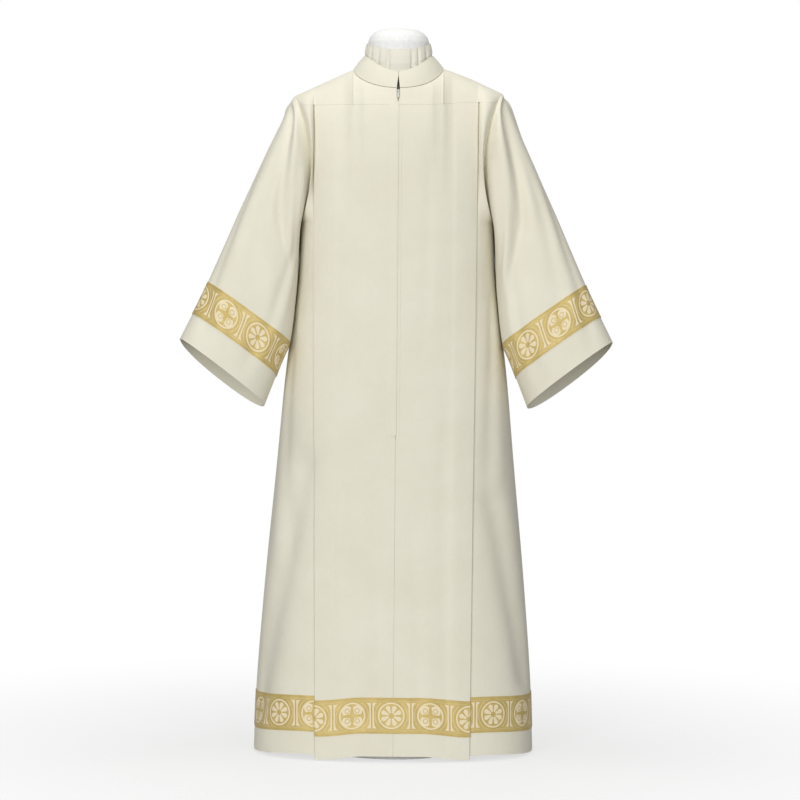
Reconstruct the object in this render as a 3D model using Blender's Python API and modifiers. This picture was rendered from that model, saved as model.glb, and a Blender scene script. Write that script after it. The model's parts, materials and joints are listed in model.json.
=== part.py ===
"""Clergy robe on a limbless dress form: an alb with a band collar, a front zip, long pleats
and wide sleeves, with galloon bands above its hem and its cuffs.

Metres, +Z up. The front faces -Y, and the wearer's left side is at +X. The origin is the
middle of the underside of the form's base plate.
"""

import math

import bmesh
import bpy
import numpy as np

# Cloth walls and the gap that sewn pieces keep to each other.
CLOTH = 0.0012
COLLAR_CLOTH = 0.0018
BAND_CLOTH = 0.0009
GAP = 0.0003

# Heights of the robe's main lines.
HEM_Z = 0.012
UNDERARM_Z = 1.130
YOKE_Z = 1.378
ZIP_END_Z = 0.678
NECK_SIDE_Z = 1.457
SHOULDER_Z = 1.399

# Half widths and depths of the neck and shoulders.
NECK_X = 0.096
NECK_FRONT = 0.084
NECK_BACK = 0.070
NECK_DROP = 0.0434
NECK_BACK_RISE = 0.007
SHOULDER_X = 0.221
UNDERARM_X = 0.205
ARMHOLE_DEPTH = 0.086
ARMHOLE_INSET = 0.027

# Collar, measured at its upper edge.
COLLAR_X = 0.0735
COLLAR_FRONT = 0.068
COLLAR_BACK = 0.0715
COLLAR_SIDE_Z = 1.486
COLLAR_DROP = 0.0353
COLLAR_BACK_RISE = 0.008

# The skirt's sections. The corners of each section are rounder than a box and fuller than
# an ellipse.
ROUNDNESS = 2.6
BODY_COLUMNS = ("height", "half_width", "front", "back")
BODY_SECTIONS = (
    (0.012, 0.2985, 0.186, 0.190),
    (0.135, 0.2940, 0.182, 0.186),
    (0.340, 0.2790, 0.173, 0.176),
    (0.600, 0.2545, 0.160, 0.163),
    (0.855, 0.2300, 0.147, 0.148),
    (1.000, 0.2165, 0.138, 0.136),
    (1.130, 0.2050, 0.128, 0.124),
)

# One long pleat at each side of the front and of the back. The cloth folds back under
# itself by PLEAT_DEPTH and runs out again to the side. PLEAT_TURNS gives its columns: how
# far each is from the outer fold, and how deep it lies behind the outer layer.
PLEAT_DEPTH = 0.048
PLEAT_TURN = 0.0015
PLEAT_LAYERS = (0.0032, 0.0052)
PLEAT_TURNS = (
    (-PLEAT_TURN, 0.0),
    (0.0, PLEAT_LAYERS[0] / 2),
    (-PLEAT_TURN, PLEAT_LAYERS[0]),
    (-PLEAT_DEPTH + PLEAT_TURN, PLEAT_LAYERS[0]),
    (-PLEAT_DEPTH, sum(PLEAT_LAYERS) / 2),
    (-PLEAT_DEPTH + PLEAT_TURN, PLEAT_LAYERS[1]),
    (0.0, PLEAT_LAYERS[1]),
)
PLEAT_COLUMNS = ("height", "left", "right")
PLEAT_FOLDS = (
    (0.012, 0.161, 0.164),
    (1.130, 0.169, 0.177),
    (1.378, 0.171, 0.179),
)

# Soft troughs in the side panels: each runs from its first end to its second one. Along is
# 1 at the pleat's fold and 2 at the side seam.
TROUGH_COLUMNS = ("side", "face", "along_top", "top_z", "along_foot", "foot_z", "depth", "reach")
TROUGHS = (
    (-1, "front", 1.12, 0.640, 1.75, 0.100, 0.010, 0.20),
    (1, "front", 1.25, 0.560, 1.70, 0.150, 0.009, 0.18),
    (-1, "back", 1.20, 0.700, 1.62, 0.160, 0.008, 0.20),
    (1, "back", 1.15, 0.600, 1.55, 0.080, 0.009, 0.20),
)
TROUGH_FADE = 0.12
SEAM_REACH = 0.25

# Where the rows of the front and back panels lie: heights below the underarm, then the
# share of the way from the underarm to the yoke.
SKIRT_ROWS = (0.012, 0.060, 0.135, 0.250, 0.380, 0.520, 0.670, 0.830, 0.980, 1.130)
CHEST_ROWS = (0.16, 0.33, 0.50, 0.66, 0.82, 1.00)
YOKE_ROWS = (0.0, 0.33, 0.66, 1.0)
CENTRE_COLUMNS = (0.0, 0.28, 0.56, 0.84)
SIDE_COLUMNS = (1.2, 1.4, 1.6, 1.8, 1.93, 2.0)
NECK_ANGLES = (0, 20, 40, 60, 75, 90)
SHOULDER_COLUMNS = (0.70, 0.85, 1.0, 1.33, 1.67, 2.0)

# How the chest rises to the neckline and rolls over the shoulder.
CHEST_RISE = 0.29
NECK_LEAN = (0.10, 0.20)
SHOULDER_ROLL = (0.24, 0.03)

# Hem bands, and the front bands' join under the zip.
BAND_LOW_Z = 0.060
BAND_HIGH_Z = 0.135
BAND_UNDERLAP = 0.25

# Sleeve sections from the armhole to the cuff. Outer and inner are the two edges seen from
# the front, depth is half the tube's depth, and lift and drop are how far its front stands
# above and its back hangs below the line between those edges.
SLEEVE_COLUMNS = (
    "station",
    "outer_x",
    "outer_z",
    "inner_x",
    "inner_z",
    "centre_y",
    "depth",
    "lift",
    "drop",
    "inset",
)
SLEEVE_SECTIONS = (
    (0, 0.2210, 1.3990, 0.2050, 1.1300, 0.000, 0.0860, 0.000, 0.000, 0.0270),
    (1, 0.2250, 1.3945, 0.2088, 1.1316, 0.000, 0.0862, 0.000, 0.000, 0.0255),
    (2, 0.2330, 1.3800, 0.2114, 1.1250, -0.001, 0.0865, 0.000, 0.000, 0.0225),
    (3, 0.2530, 1.3350, 0.2126, 1.1000, -0.005, 0.0865, 0.001, 0.001, 0.0150),
    (4, 0.2820, 1.2740, 0.2156, 1.0500, -0.012, 0.0850, 0.002, 0.003, 0.0080),
    (5, 0.3110, 1.2095, 0.2196, 1.0000, -0.022, 0.0830, 0.003, 0.006, 0.0035),
    (6, 0.3390, 1.1450, 0.2236, 0.9550, -0.034, 0.0800, 0.005, 0.010, 0.0010),
    (7, 0.3660, 1.0800, 0.2270, 0.9130, -0.047, 0.0780, 0.007, 0.014, 0.0000),
    (8, 0.4010, 0.9980, 0.2320, 0.8740, -0.060, 0.0760, 0.010, 0.020, 0.0000),
    (9, 0.4165, 0.9640, 0.2430, 0.8410, -0.067, 0.0755, 0.011, 0.022, 0.0000),
    (10, 0.4325, 0.9305, 0.2557, 0.8043, -0.073, 0.0745, 0.012, 0.024, 0.0000),
    (11, 0.4580, 0.8784, 0.2780, 0.7430, -0.085, 0.0730, 0.013, 0.027, 0.0000),
)
CUFF_BAND_STATIONS = (8, 9, 10)

# The zip: a narrow lap on the front hides it, and a tape behind carries the slider.
ZIP_HALF_GAP = 0.0005
ZIP_MOUTH = 0.0034
ZIP_MOUTH_Z = 1.398
ZIP_CLOSED_Z = 1.386
LAP_LEFT = -0.020
LAP_RIGHT = 0.0012
LAP_CLOTH = 0.0009
TAPE_HALF_WIDTH = 0.012
TAPE_CLOTH = 0.0008
LAP_ENDS = (0.682, 1.384)
TAPE_ENDS = (0.682, 1.408)
STRIP_GAP = 0.0005
SLIDER_Z = 1.4060
SLIDER_SIZE = (0.0052, 0.0021, 0.0090)
SLIDER_PROUD = 0.0009
BAIL_RADIUS = 0.0021
BAIL_WIRE = 0.0005
PULL_BAR = 0.0005
PULL_LENGTH = 0.0150
PULL_WIDTH = 0.0052
PULL_THICKNESS = 0.0010
PULL_WINDOW = (0.0028, 0.0036)

# The dress form: its rings from the hip to the neck, then the domed top of the neck.
FORM_COLUMNS = ("height", "half_width", "front", "back", "roundness")
FORM_RINGS = (
    (0.700, 0.150, 0.095, 0.100, 2.2),
    (0.715, 0.162, 0.104, 0.109, 2.2),
    (0.800, 0.168, 0.108, 0.116, 2.2),
    (0.900, 0.157, 0.100, 0.105, 2.2),
    (1.020, 0.140, 0.092, 0.088, 2.2),
    (1.130, 0.157, 0.102, 0.092, 2.2),
    (1.220, 0.170, 0.104, 0.094, 2.2),
    (1.300, 0.176, 0.096, 0.090, 2.2),
    (1.350, 0.190, 0.085, 0.078, 2.0),
    (1.385, 0.201, 0.070, 0.066, 1.6),
    (1.4035, 0.2035, 0.062, 0.060, 1.3),
    (1.4200, 0.1700, 0.059, 0.058, 1.1),
    (1.4400, 0.1268, 0.058, 0.059, 1.1),
    (1.4520, 0.0930, 0.0595, 0.0595, 1.3),
    (1.4590, 0.0730, 0.0598, 0.0600, 1.7),
    (1.4680, 0.0655, 0.0600, 0.0600, 2.0),
    (1.5150, 0.0655, 0.0600, 0.0600, 2.0),
    (1.5270, 0.0610, 0.0560, 0.0560, 2.0),
    (1.5360, 0.0520, 0.0480, 0.0480, 2.0),
    (1.5410, 0.0420, 0.0385, 0.0385, 2.0),
    (1.5430, 0.0280, 0.0250, 0.0250, 2.0),
)
FORM_SIDES = 28

# The form's neck cover: gathered cloth from the domed top down into the collar.
COVER_X = 0.0676
COVER_Y = 0.0620
COVER_CLOTH = 0.0010
COVER_TOP = (1.497, 1.513, 1.516)
COVER_FOOT = (1.434, 1.474, 1.464)
COVER_ROWS = (0.0, 0.3, 0.65, 1.0)
COVER_FULLNESS = (0.0004, 0.0022, 0.0026, 0.0020)
GATHER_COLUMNS = ("angle", "half_width", "depth")
GATHERS = (
    (-172, 7, 0.7),
    (-150, 6, 0.9),
    (-126, 8, 0.6),
    (-101, 6, 1.0),
    (-78, 6, 0.9),
    (-56, 5, 0.8),
    (-38, 5, 0.5),
    (-20, 4, 1.0),
    (2, 7, 0.0),
    (24, 4, 0.9),
    (37, 4, 1.0),
    (57, 6, 0.7),
    (82, 6, 0.9),
    (108, 7, 0.8),
    (134, 6, 1.0),
    (158, 7, 0.7),
)

# Stand.
POLE_RADIUS = 0.014
BASE_RADIUS = 0.150
BASE_THICKNESS = 0.010
SOCKET_RADIUS = 0.026
SOCKET_HEIGHT = 0.040

CREAM = (0.77, 0.73, 0.61)
GOLD = (0.72, 0.50, 0.18)
MATERIALS = {
    "cream_cloth": (CREAM, 0.85, 0.0),
    "gold_galloon": (GOLD, 0.55, 0.2),
    "zip_tape": ((0.74, 0.70, 0.58), 0.8, 0.0),
    "zip_metal": ((0.75, 0.74, 0.70), 0.35, 0.9),
    "form_cover": ((0.78, 0.74, 0.63), 0.85, 0.0),
    "form_white": ((0.9, 0.9, 0.88), 0.6, 0.0),
    "stand_paint": ((0.85, 0.85, 0.83), 0.45, 0.0),
}


def clear_scene():
    """Remove what the scene holds and give an empty collection for the robe."""
    for obj in list(bpy.data.objects):
        bpy.data.objects.remove(obj, do_unlink=True)
    collection = bpy.data.collections.new("clergy_robe")
    bpy.context.scene.collection.children.link(collection)
    return collection


def material(name):
    """The named finish, made once."""
    found = bpy.data.materials.get(name)
    if found:
        return found
    colour, roughness, metallic = MATERIALS[name]
    found = bpy.data.materials.new(name)
    found.use_nodes = True
    shader = found.node_tree.nodes["Principled BSDF"]
    shader.inputs["Base Color"].default_value = (*colour, 1.0)
    shader.inputs["Roughness"].default_value = roughness
    shader.inputs["Metallic"].default_value = metallic
    return found


def place(name, mesh, finish, collection):
    """Put a mesh into the robe's collection as the named piece."""
    mesh.materials.append(material(finish))
    piece = bpy.data.objects.new(name, mesh)
    collection.objects.link(piece)
    return piece


def solid_from(bm, name, finish, collection, smooth=True):
    """Finish a bmesh as one closed piece with its faces pointing out."""
    bmesh.ops.recalc_face_normals(bm, faces=bm.faces)
    mesh = bpy.data.meshes.new(name)
    bm.to_mesh(mesh)
    bm.free()
    if smooth:
        mesh.shade_smooth()
        mesh.set_sharp_from_angle(angle=math.radians(40))
    return place(name, mesh, finish, collection)


def read(columns, table, key):
    """A row of the table at this value of its first column, on a smooth curve through it."""
    rows = np.array(table, float)
    keys, values = rows[:, 0], rows[:, 1:]
    slopes = np.gradient(values, keys, axis=0)
    place_in = int(np.clip(np.searchsorted(keys, key) - 1, 0, len(keys) - 2))
    span = keys[place_in + 1] - keys[place_in]
    share = (key - keys[place_in]) / span
    ends = values[place_in], values[place_in + 1]
    found = hermite(*ends, slopes[place_in] * span, slopes[place_in + 1] * span, share)
    return dict(zip(columns[1:], found))


def hermite(start, end, leave, arrive, share):
    """A cubic from start to end with these tangents, at this share of the way."""
    square, cube = share * share, share**3
    return (
        (2 * cube - 3 * square + 1) * start
        + (cube - 2 * square + share) * leave
        + (3 * square - 2 * cube) * end
        + (cube - square) * arrive
    )


def unit(vectors):
    """Vectors of length one, along the last axis."""
    return vectors / np.linalg.norm(vectors, axis=-1, keepdims=True)


def facing(face):
    """-1 for the front, which faces -Y, and 1 for the back."""
    return -1.0 if face == "front" else 1.0


def pleat_x(side, height):
    """Where the outer fold of the pleat on this side lies."""
    return read(PLEAT_COLUMNS, PLEAT_FOLDS, min(height, YOKE_Z))["right" if side < 0 else "left"]


def neckline(face, angle):
    """The collar seam, at an angle from the middle of the front or the back."""
    reach, along = math.sin(angle), max(math.cos(angle), 0.0)
    if face == "front":
        return np.array([NECK_X * reach, -NECK_FRONT * along, NECK_SIDE_Z - NECK_DROP * along**1.1])
    return np.array([NECK_X * reach, NECK_BACK * along, NECK_SIDE_Z + NECK_BACK_RISE * along])


def neck_outward(face, angle):
    """The way out of the cloth at the collar seam, shared by the collar and the yokes."""
    reach, along = math.sin(angle), math.cos(angle)
    if face == "front":
        return unit(np.array([0.63 * reach, -0.90 * along, 0.43 + 0.35 * reach**2]))
    return unit(np.array([0.63 * reach, 0.85 * along, 0.50 + 0.28 * reach**2]))


def armhole(face, angle):
    """The armhole on the +X side: angle 0 is the shoulder point, pi the underarm."""
    middle = np.array([SHOULDER_X + UNDERARM_X, 0.0, SHOULDER_Z + UNDERARM_Z]) / 2
    half = np.array([SHOULDER_X - UNDERARM_X, 0.0, SHOULDER_Z - UNDERARM_Z]) / 2
    across = np.array([-ARMHOLE_INSET * math.sin(angle), facing(face) * ARMHOLE_DEPTH, 0.0])
    return middle + half * math.cos(angle) + across * math.sin(angle)


def armhole_outward(face, angle, cloth):
    """The mitre of the wall at the armhole, shared by the body and the sleeve."""
    upright, level = math.cos(angle), math.sin(angle)
    mitre = unit(np.array([abs(upright) + 0.55 * level, facing(face) * level, upright]))
    longer = 1 + 0.06 * max(upright, 0.0) ** 2 + 0.41 * max(-upright, 0.0) ** 2 + 0.2 * level**2
    return mitre * cloth * longer


def armhole_away(face, angle):
    """The way from the body's edge to the sleeve's, square to the mitre and to the seam."""
    step = 0.01
    seam = armhole(face, angle + step) - armhole(face, angle - step)
    away = unit(np.cross(armhole_outward(face, angle, 1.0), seam))
    return away * math.copysign(1.0, away[0])


def top_edge(face, across):
    """The neckline, then the shoulder seam, at this distance from the middle."""
    if across <= NECK_X:
        return neckline(face, math.asin(across / NECK_X))
    share = (across - NECK_X) / (SHOULDER_X - NECK_X)
    height = NECK_SIDE_Z + (SHOULDER_Z - NECK_SIDE_Z) * share
    return np.array([across, facing(face) * GAP / 2, height])


def trough_depth(side, face, along, height):
    """How far the soft troughs pull the cloth in at this place."""
    depth = 0.0
    for row in TROUGHS:
        trough = dict(zip(TROUGH_COLUMNS, row))
        if (trough["side"], trough["face"]) != (side, face):
            continue
        share = (trough["top_z"] - height) / (trough["top_z"] - trough["foot_z"])
        line = trough["along_top"] + (trough["along_foot"] - trough["along_top"]) * share
        ends = min(share, 1 - share) / TROUGH_FADE
        fade = min(max(0.5 + ends, 0.0), 1.0) * min(max(2 - along, 0.0) / SEAM_REACH, 1.0)
        depth += trough["depth"] * fade * math.exp(-(((along - line) / trough["reach"]) ** 2))
    return depth


def skirt_point(side, face, along, height):
    """The outer cloth below the underarm, for the +X side."""
    section = read(BODY_COLUMNS, BODY_SECTIONS, height)
    width, depth = section["half_width"], section[face]
    fold = pleat_x(side, height)
    if along <= 1:
        across = along * fold
        out = depth * (1 - (across / width) ** ROUNDNESS) ** (1 / ROUNDNESS)
    else:
        start = math.asin((fold / width) ** (ROUNDNESS / 2))
        turn = start + (along - 1) * (math.pi / 2 - start)
        across = width * math.sin(turn) ** (2 / ROUNDNESS)
        out = depth * max(math.cos(turn), 0.0) ** (2 / ROUNDNESS)
    pull = 1 - trough_depth(side, face, along, height) / math.hypot(across, out)
    return np.array([across * pull, facing(face) * max(out * pull, GAP / 2), height])


def chest_point(side, face, along, rise):
    """The outer cloth above the underarm: rise is 0 there and 1 at the top edge."""
    fold = pleat_x(side, YOKE_Z)
    edge_share = max(along - 1, 0.0)
    across = along * fold if along <= 1 else fold + edge_share * (SHOULDER_X - fold)
    start, end = skirt_point(side, face, along, UNDERARM_Z), top_edge(face, across)
    roll = min(across / NECK_X, 1.0) ** 2
    lean = [a + (b - a) * roll for a, b in zip(NECK_LEAN, SHOULDER_ROLL)]
    leave = np.array([0.0, 0.0, CHEST_RISE])
    arrive = np.array([0.0, -facing(face) * lean[0] * (1 - edge_share), lean[1]])
    found = hermite(start, end, leave, arrive, rise)
    if edge_share:
        ends = np.array([UNDERARM_X, 0.0, UNDERARM_Z]), np.array([SHOULDER_X, 0.0, SHOULDER_Z])
        straight = hermite(*ends, leave, np.array([0.0, 0.0, SHOULDER_ROLL[1]]), rise)
        drawn = 1 - (1 - edge_share) ** 1.6
        found = found + drawn * (armhole(face, math.pi * (1 - rise)) - straight)
    return found


def rise_at(side, face, along, height):
    """The rise at which the chest reaches this height, found by halving."""
    low, high = 0.0, 1.0
    for _ in range(40):
        middle = (low + high) / 2
        if chest_point(side, face, along, middle)[2] < height:
            low = middle
        else:
            high = middle
    return low


def cloth_point(side, face, along, height):
    """The outer cloth at this height, anywhere between the hem and the neck."""
    if height <= UNDERARM_Z:
        return skirt_point(side, face, along, height)
    return chest_point(side, face, along, rise_at(side, face, along, height))


def panel_rows(side, face, along):
    """The outer cloth from the hem to the yoke at this place across, one point a row."""
    points = [skirt_point(side, face, along, height) for height in SKIRT_ROWS]
    yoke = rise_at(side, face, along, YOKE_Z - GAP / 2)
    return points + [chest_point(side, face, along, yoke * share) for share in CHEST_ROWS]


def armhole_angles():
    """The angles of the armhole's points, from the underarm to the shoulder."""
    yoke = rise_at(1, "front", 2.0, YOKE_Z)
    rises = [0.0] + [yoke * share for share in CHEST_ROWS]
    rises += [yoke + (1 - yoke) * share for share in YOKE_ROWS[1:]]
    return [math.pi * (1 - rise) for rise in rises]


def centre_gap(height):
    """Half the opening between the two fronts."""
    if height < ZIP_END_Z:
        return GAP / 2
    if height < ZIP_CLOSED_Z:
        return ZIP_HALF_GAP
    share = min((height - ZIP_CLOSED_Z) / (ZIP_MOUTH_Z - ZIP_CLOSED_Z), 1.0)
    return ZIP_HALF_GAP + (ZIP_MOUTH - ZIP_HALF_GAP) * share


def outward(grid, closed=False):
    """Unit vectors square to a grid of points, rows upwards and columns anticlockwise."""
    rows = np.gradient(grid, axis=0)
    if closed:
        columns = np.roll(grid, -1, axis=1) - np.roll(grid, 1, axis=1)
    else:
        columns = np.gradient(grid, axis=1)
    return unit(np.cross(columns, rows))


def wall(name, outer, inner, finish, collection, closed=False):
    """A closed wall between two matching grids of points.

    Each cell is split along the diagonal that stands further out, so that a band and the
    panel under it, which share their points, are split alike and stay apart.
    """
    height, width = outer.shape[:2]
    bm = bmesh.new()
    sheets = [
        [[bm.verts.new(point) for point in row] for row in sheet] for sheet in (outer, inner)
    ]
    for i in range(height - 1):
        for j in range(width if closed else width - 1):
            k = (j + 1) % width
            rise = outer[i, j] + outer[i + 1, k] - outer[i, k] - outer[i + 1, j]
            first = rise @ (outer[i, j] - inner[i, j]) >= 0
            for sheet in sheets:
                corners = [sheet[i][j], sheet[i][k], sheet[i + 1][k], sheet[i + 1][j]]
                if not first:
                    corners = corners[1:] + corners[:1]
                bm.faces.new(corners[:3])
                bm.faces.new([corners[0], *corners[2:]])
    rims = [[sheet[0] for sheet in sheets], [sheet[-1] for sheet in sheets]]
    if not closed:
        rims += [[[row[j] for row in sheet] for sheet in sheets] for j in (0, -1)]
    for near, far in rims:
        around = closed and len(near) == width
        for j in range(len(near) if around else len(near) - 1):
            k = (j + 1) % len(near)
            bm.faces.new((near[j], near[k], far[k], far[j]))
    return solid_from(bm, name, finish, collection)


def mirrored(grid, side):
    """A grid of the +X side, moved to the side asked for."""
    return grid * np.array([side, 1.0, 1.0])


def panel_half(side, face, centre):
    """Outer and inner points of half a front or back panel, from its middle to its side.

    The pleat is three layers of the same cloth: its columns run out to the fold, back under
    it by PLEAT_DEPTH, and out again to the side.
    """
    fold = pleat_x(side, YOKE_Z)
    places = [(share * (1 - PLEAT_TURN / fold), 0.0) for share in centre]
    places += [(1 + shift / fold, sunk) for shift, sunk in PLEAT_TURNS]
    places += [(along, PLEAT_LAYERS[1] * (1 - (along - 1) ** 2)) for along in SIDE_COLUMNS]
    smooth = np.array([panel_rows(side, face, along) for along, _ in places]).transpose(1, 0, 2)
    steady = base_outward(side, face, [along for along, _ in places])
    sunk = np.array([amount for _, amount in places])
    outer = smooth - steady * sunk[None, :, None]
    if face == "front" and centre[0] == 0.0:
        outer[:, 0, 0] = [centre_gap(height) for height in outer[:, 0, 2]]
    lay = -facing(face)
    thick = lay * outward(outer) * CLOTH
    thick[:, 0] = lay * outward(outer)[:, 0] * [0.0, CLOTH, CLOTH]
    thick[:, -1] = [CLOTH, 0.0, 0.0]
    angles = armhole_angles()
    edge = len(SKIRT_ROWS) - 1
    for row in range(edge, len(outer)):
        thick[row, -1] = armhole_outward(face, angles[row - edge], CLOTH)
    outer[-1, :-1, 2] = np.minimum(outer[-1, :-1, 2], YOKE_Z - GAP / 2)
    thick[-1, :-1, 2] = np.maximum(thick[-1, :-1, 2], 0.0)
    return outer, outer - thick


def base_outward(side, face, alongs):
    """The way out of the smooth cloth under a panel's rows, one vector a point."""
    step = 0.004
    columns = []
    for along in alongs:
        near = panel_rows(side, face, max(along - step, 0.0))
        far = panel_rows(side, face, min(along + step, 2.0))
        here = np.array(panel_rows(side, face, along))
        across = np.array(far) - np.array(near)
        columns.append(-facing(face) * unit(np.cross(across, np.gradient(here, axis=0))))
    return np.array(columns).transpose(1, 0, 2)


def joined(left, right):
    """Two half grids as one, from the -X side to the +X side."""
    return np.concatenate([left[:, ::-1], right[:, 1:]], axis=1)


def make_panels(collection):
    """The two fronts and the back, and the galloon bands that lie on them."""
    halves = {
        (side, face): panel_half(side, face, CENTRE_COLUMNS)
        for side in (-1, 1)
        for face in ("front", "back")
    }
    for side, name in ((1, "front_left"), (-1, "front_right")):
        outer, inner = halves[side, "front"]
        walls = mirrored(outer, side), mirrored(inner, side)
        wall(name, *walls, "cream_cloth", collection)
    outer, inner = (
        joined(mirrored(halves[-1, "back"][k], -1), halves[1, "back"][k]) for k in (0, 1)
    )
    wall("back", outer, inner, "cream_cloth", collection)
    make_hem_bands(halves, collection)


def yoke_half(side, face):
    """Outer and inner points of half a yoke, from its middle to the armhole."""
    fold = pleat_x(side, YOKE_Z)
    alongs = [NECK_X * math.sin(math.radians(angle)) / fold for angle in NECK_ANGLES]
    alongs += [along for along in SHOULDER_COLUMNS]
    columns = []
    for along in alongs:
        start = rise_at(side, face, along, YOKE_Z + GAP / 2)
        rises = [start + (1 - start) * share for share in YOKE_ROWS]
        columns.append([chest_point(side, face, along, rise) for rise in rises])
    outer = np.array(columns).transpose(1, 0, 2)
    if face == "front":
        outer[:, 0, 0] = [centre_gap(height) for height in outer[:, 0, 2]]
    thick = -facing(face) * outward(outer) * CLOTH
    thick[:, 0, 0] = 0.0
    thick[0, :, 2] = 0.0
    last_angle = len(NECK_ANGLES) - 1
    for column, angle in enumerate(NECK_ANGLES):
        thick[-1, column] = neck_outward(face, math.radians(angle)) * CLOTH
    slope = unit(np.array([NECK_SIDE_Z - SHOULDER_Z, 0.0, SHOULDER_X - NECK_X]))
    thick[-1, last_angle + 1 :] = slope * CLOTH
    angles = armhole_angles()[len(CHEST_ROWS) :]
    for row, angle in enumerate(angles):
        thick[row, -1] = armhole_outward(face, angle, CLOTH)
    return outer, outer - thick


def make_yokes(collection):
    """The front yokes and the back yoke, over the shoulders."""
    for side, name in ((1, "front_yoke_left"), (-1, "front_yoke_right")):
        outer, inner = yoke_half(side, "front")
        wall(name, mirrored(outer, side), mirrored(inner, side), "cream_cloth", collection)
    halves = {side: yoke_half(side, "back") for side in (-1, 1)}
    outer = joined(mirrored(halves[-1][0], -1), halves[1][0])
    inner = joined(mirrored(halves[-1][1], -1), halves[1][1])
    wall("back_yoke", outer, inner, "cream_cloth", collection)


def sleeve_ring(station):
    """Points round the sleeve of the +X side: down its front from the shoulder, up its back."""
    row = read(SLEEVE_COLUMNS, SLEEVE_SECTIONS, station)
    middle = np.array([row["outer_x"] + row["inner_x"], 0.0, row["outer_z"] + row["inner_z"]]) / 2
    half = np.array([row["outer_x"] - row["inner_x"], 0.0, row["outer_z"] - row["inner_z"]]) / 2
    middle[1] = row["centre_y"]
    front = armhole_angles()[::-1]
    points = []
    for face, angles in (("front", front), ("back", front[-2:0:-1])):
        swing = row["lift"] if face == "front" else -row["drop"]
        for angle in angles:
            low = math.sin(angle)
            across = np.array([-row["inset"] * low, facing(face) * row["depth"], swing])
            points.append(middle + half * math.cos(angle) + across * low)
    return points


def sleeve_walls():
    """Outer and inner rings of the sleeve, mitred to the armhole."""
    outer = np.array([sleeve_ring(row[0]) for row in SLEEVE_SECTIONS])
    thick = outward(outer, closed=True) * CLOTH
    angles = armhole_angles()[::-1]
    faces = [("front", angle) for angle in angles] + [("back", angle) for angle in angles[-2:0:-1]]
    for column, (face, angle) in enumerate(faces):
        outer[0, column] += armhole_away(face, angle) * GAP
        thick[0, column] = armhole_outward(face, angle, CLOTH)
    return outer, outer - thick, thick / CLOTH


def make_sleeves(collection):
    """The sleeves, and the galloon bands round them."""
    outer, inner, normals = sleeve_walls()
    rows = [station for station in CUFF_BAND_STATIONS]
    band_in = outer[rows] + normals[rows] * GAP
    band_out = band_in + normals[rows] * BAND_CLOTH
    for side, name in ((1, "left"), (-1, "right")):
        sheets = mirrored(outer, side), mirrored(inner, side)
        wall(f"sleeve_{name}", *sheets, "cream_cloth", collection, closed=True)
        sheets = mirrored(band_out, side), mirrored(band_in, side)
        wall(f"cuff_band_{name}", *sheets, "gold_galloon", collection, closed=True)


def collar_point(angle, share):
    """The collar's outer face: angle 0 is the front, and share runs up from its seam."""
    face = "front" if math.cos(angle) > 0 else "back"
    along = abs(math.cos(angle))
    foot = neckline(face, math.acos(min(along, 1.0)))
    foot[0] *= math.copysign(1.0, math.sin(angle))
    reach = COLLAR_FRONT if face == "front" else COLLAR_BACK
    rise = -COLLAR_DROP * along**2.5 if face == "front" else COLLAR_BACK_RISE * along
    top = [COLLAR_X * math.sin(angle), facing(face) * reach * along, COLLAR_SIDE_Z + rise]
    lift = np.array([0.0, 0.0, GAP])
    return foot + lift + (np.array(top) - foot - lift) * share


def make_collar(collection):
    """The band collar, open at the front in a narrow slit that closes towards its top."""
    quarter = [math.radians(angle) for angle in NECK_ANGLES]
    angles = quarter + [math.pi - angle for angle in quarter[-2::-1]]
    angles += [math.pi + angle for angle in quarter[1:]]
    angles += [2 * math.pi - angle for angle in quarter[-2::-1]]
    shares = (0.0, 0.35, 0.72, 1.0)
    half_slits = (ZIP_MOUTH, ZIP_MOUTH * 0.55, GAP, GAP)
    outer = np.array([[collar_point(angle, share) for angle in angles] for share in shares])
    outer[:, 0, 0] = half_slits
    outer[:, -1, 0] = [-slit for slit in half_slits]
    thick = outward(outer) * COLLAR_CLOTH
    for column, angle in enumerate(angles):
        face = "front" if math.cos(angle) > 0 else "back"
        side = math.copysign(1.0, math.sin(angle))
        way = neck_outward(face, math.acos(min(abs(math.cos(angle)), 1.0)))
        thick[0, column] = way * np.array([side, 1.0, 1.0]) * COLLAR_CLOTH
    thick[:, 0, 0] = 0.0
    thick[:, -1, 0] = 0.0
    wall("collar", outer, outer - thick, "cream_cloth", collection)


def lifted(points, face, amount):
    """A grid of the cloth's points, moved out of it by an amount."""
    return points - facing(face) * outward(points) * amount


def make_hem_bands(halves, collection):
    """Galloon round the skirt: one stretch between the folds in front, one behind, and one
    at each side from under the front fold to under the back one."""
    rows = slice(SKIRT_ROWS.index(BAND_LOW_Z), SKIRT_ROWS.index(BAND_HIGH_Z) + 1)
    middle = len(CENTRE_COLUMNS) + 1
    under = middle + len(PLEAT_TURNS) - 2
    grids, ways = {}, {}
    for (side, face), (outer, _) in halves.items():
        grids[side, face] = outer[rows]
        ways[side, face] = -facing(face) * outward(outer)[rows]
    for face in ("front", "back"):
        point, way = (
            joined(mirrored(found[-1, face][:, :middle], -1), found[1, face][:, :middle])
            for found in (grids, ways)
        )
        band(f"hem_band_{face}", point, way, collection)
    for side, name in ((1, "left"), (-1, "right")):
        point, way = (
            np.concatenate(
                [
                    underlapped(found[side, "front"], under),
                    underlapped(found[side, "back"], under)[:, -2::-1],
                ],
                axis=1,
            )
            for found in (grids, ways)
        )
        band(f"hem_band_{name}", mirrored(point, side), mirrored(way, side), collection)


def underlapped(grid, under):
    """The side part of a panel's grid, begun a little way under the pleat's fold."""
    tucked = grid[:, under + 1] + (grid[:, under] - grid[:, under + 1]) * BAND_UNDERLAP
    return np.concatenate([tucked[:, None], grid[:, under + 1 :]], axis=1)


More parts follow.
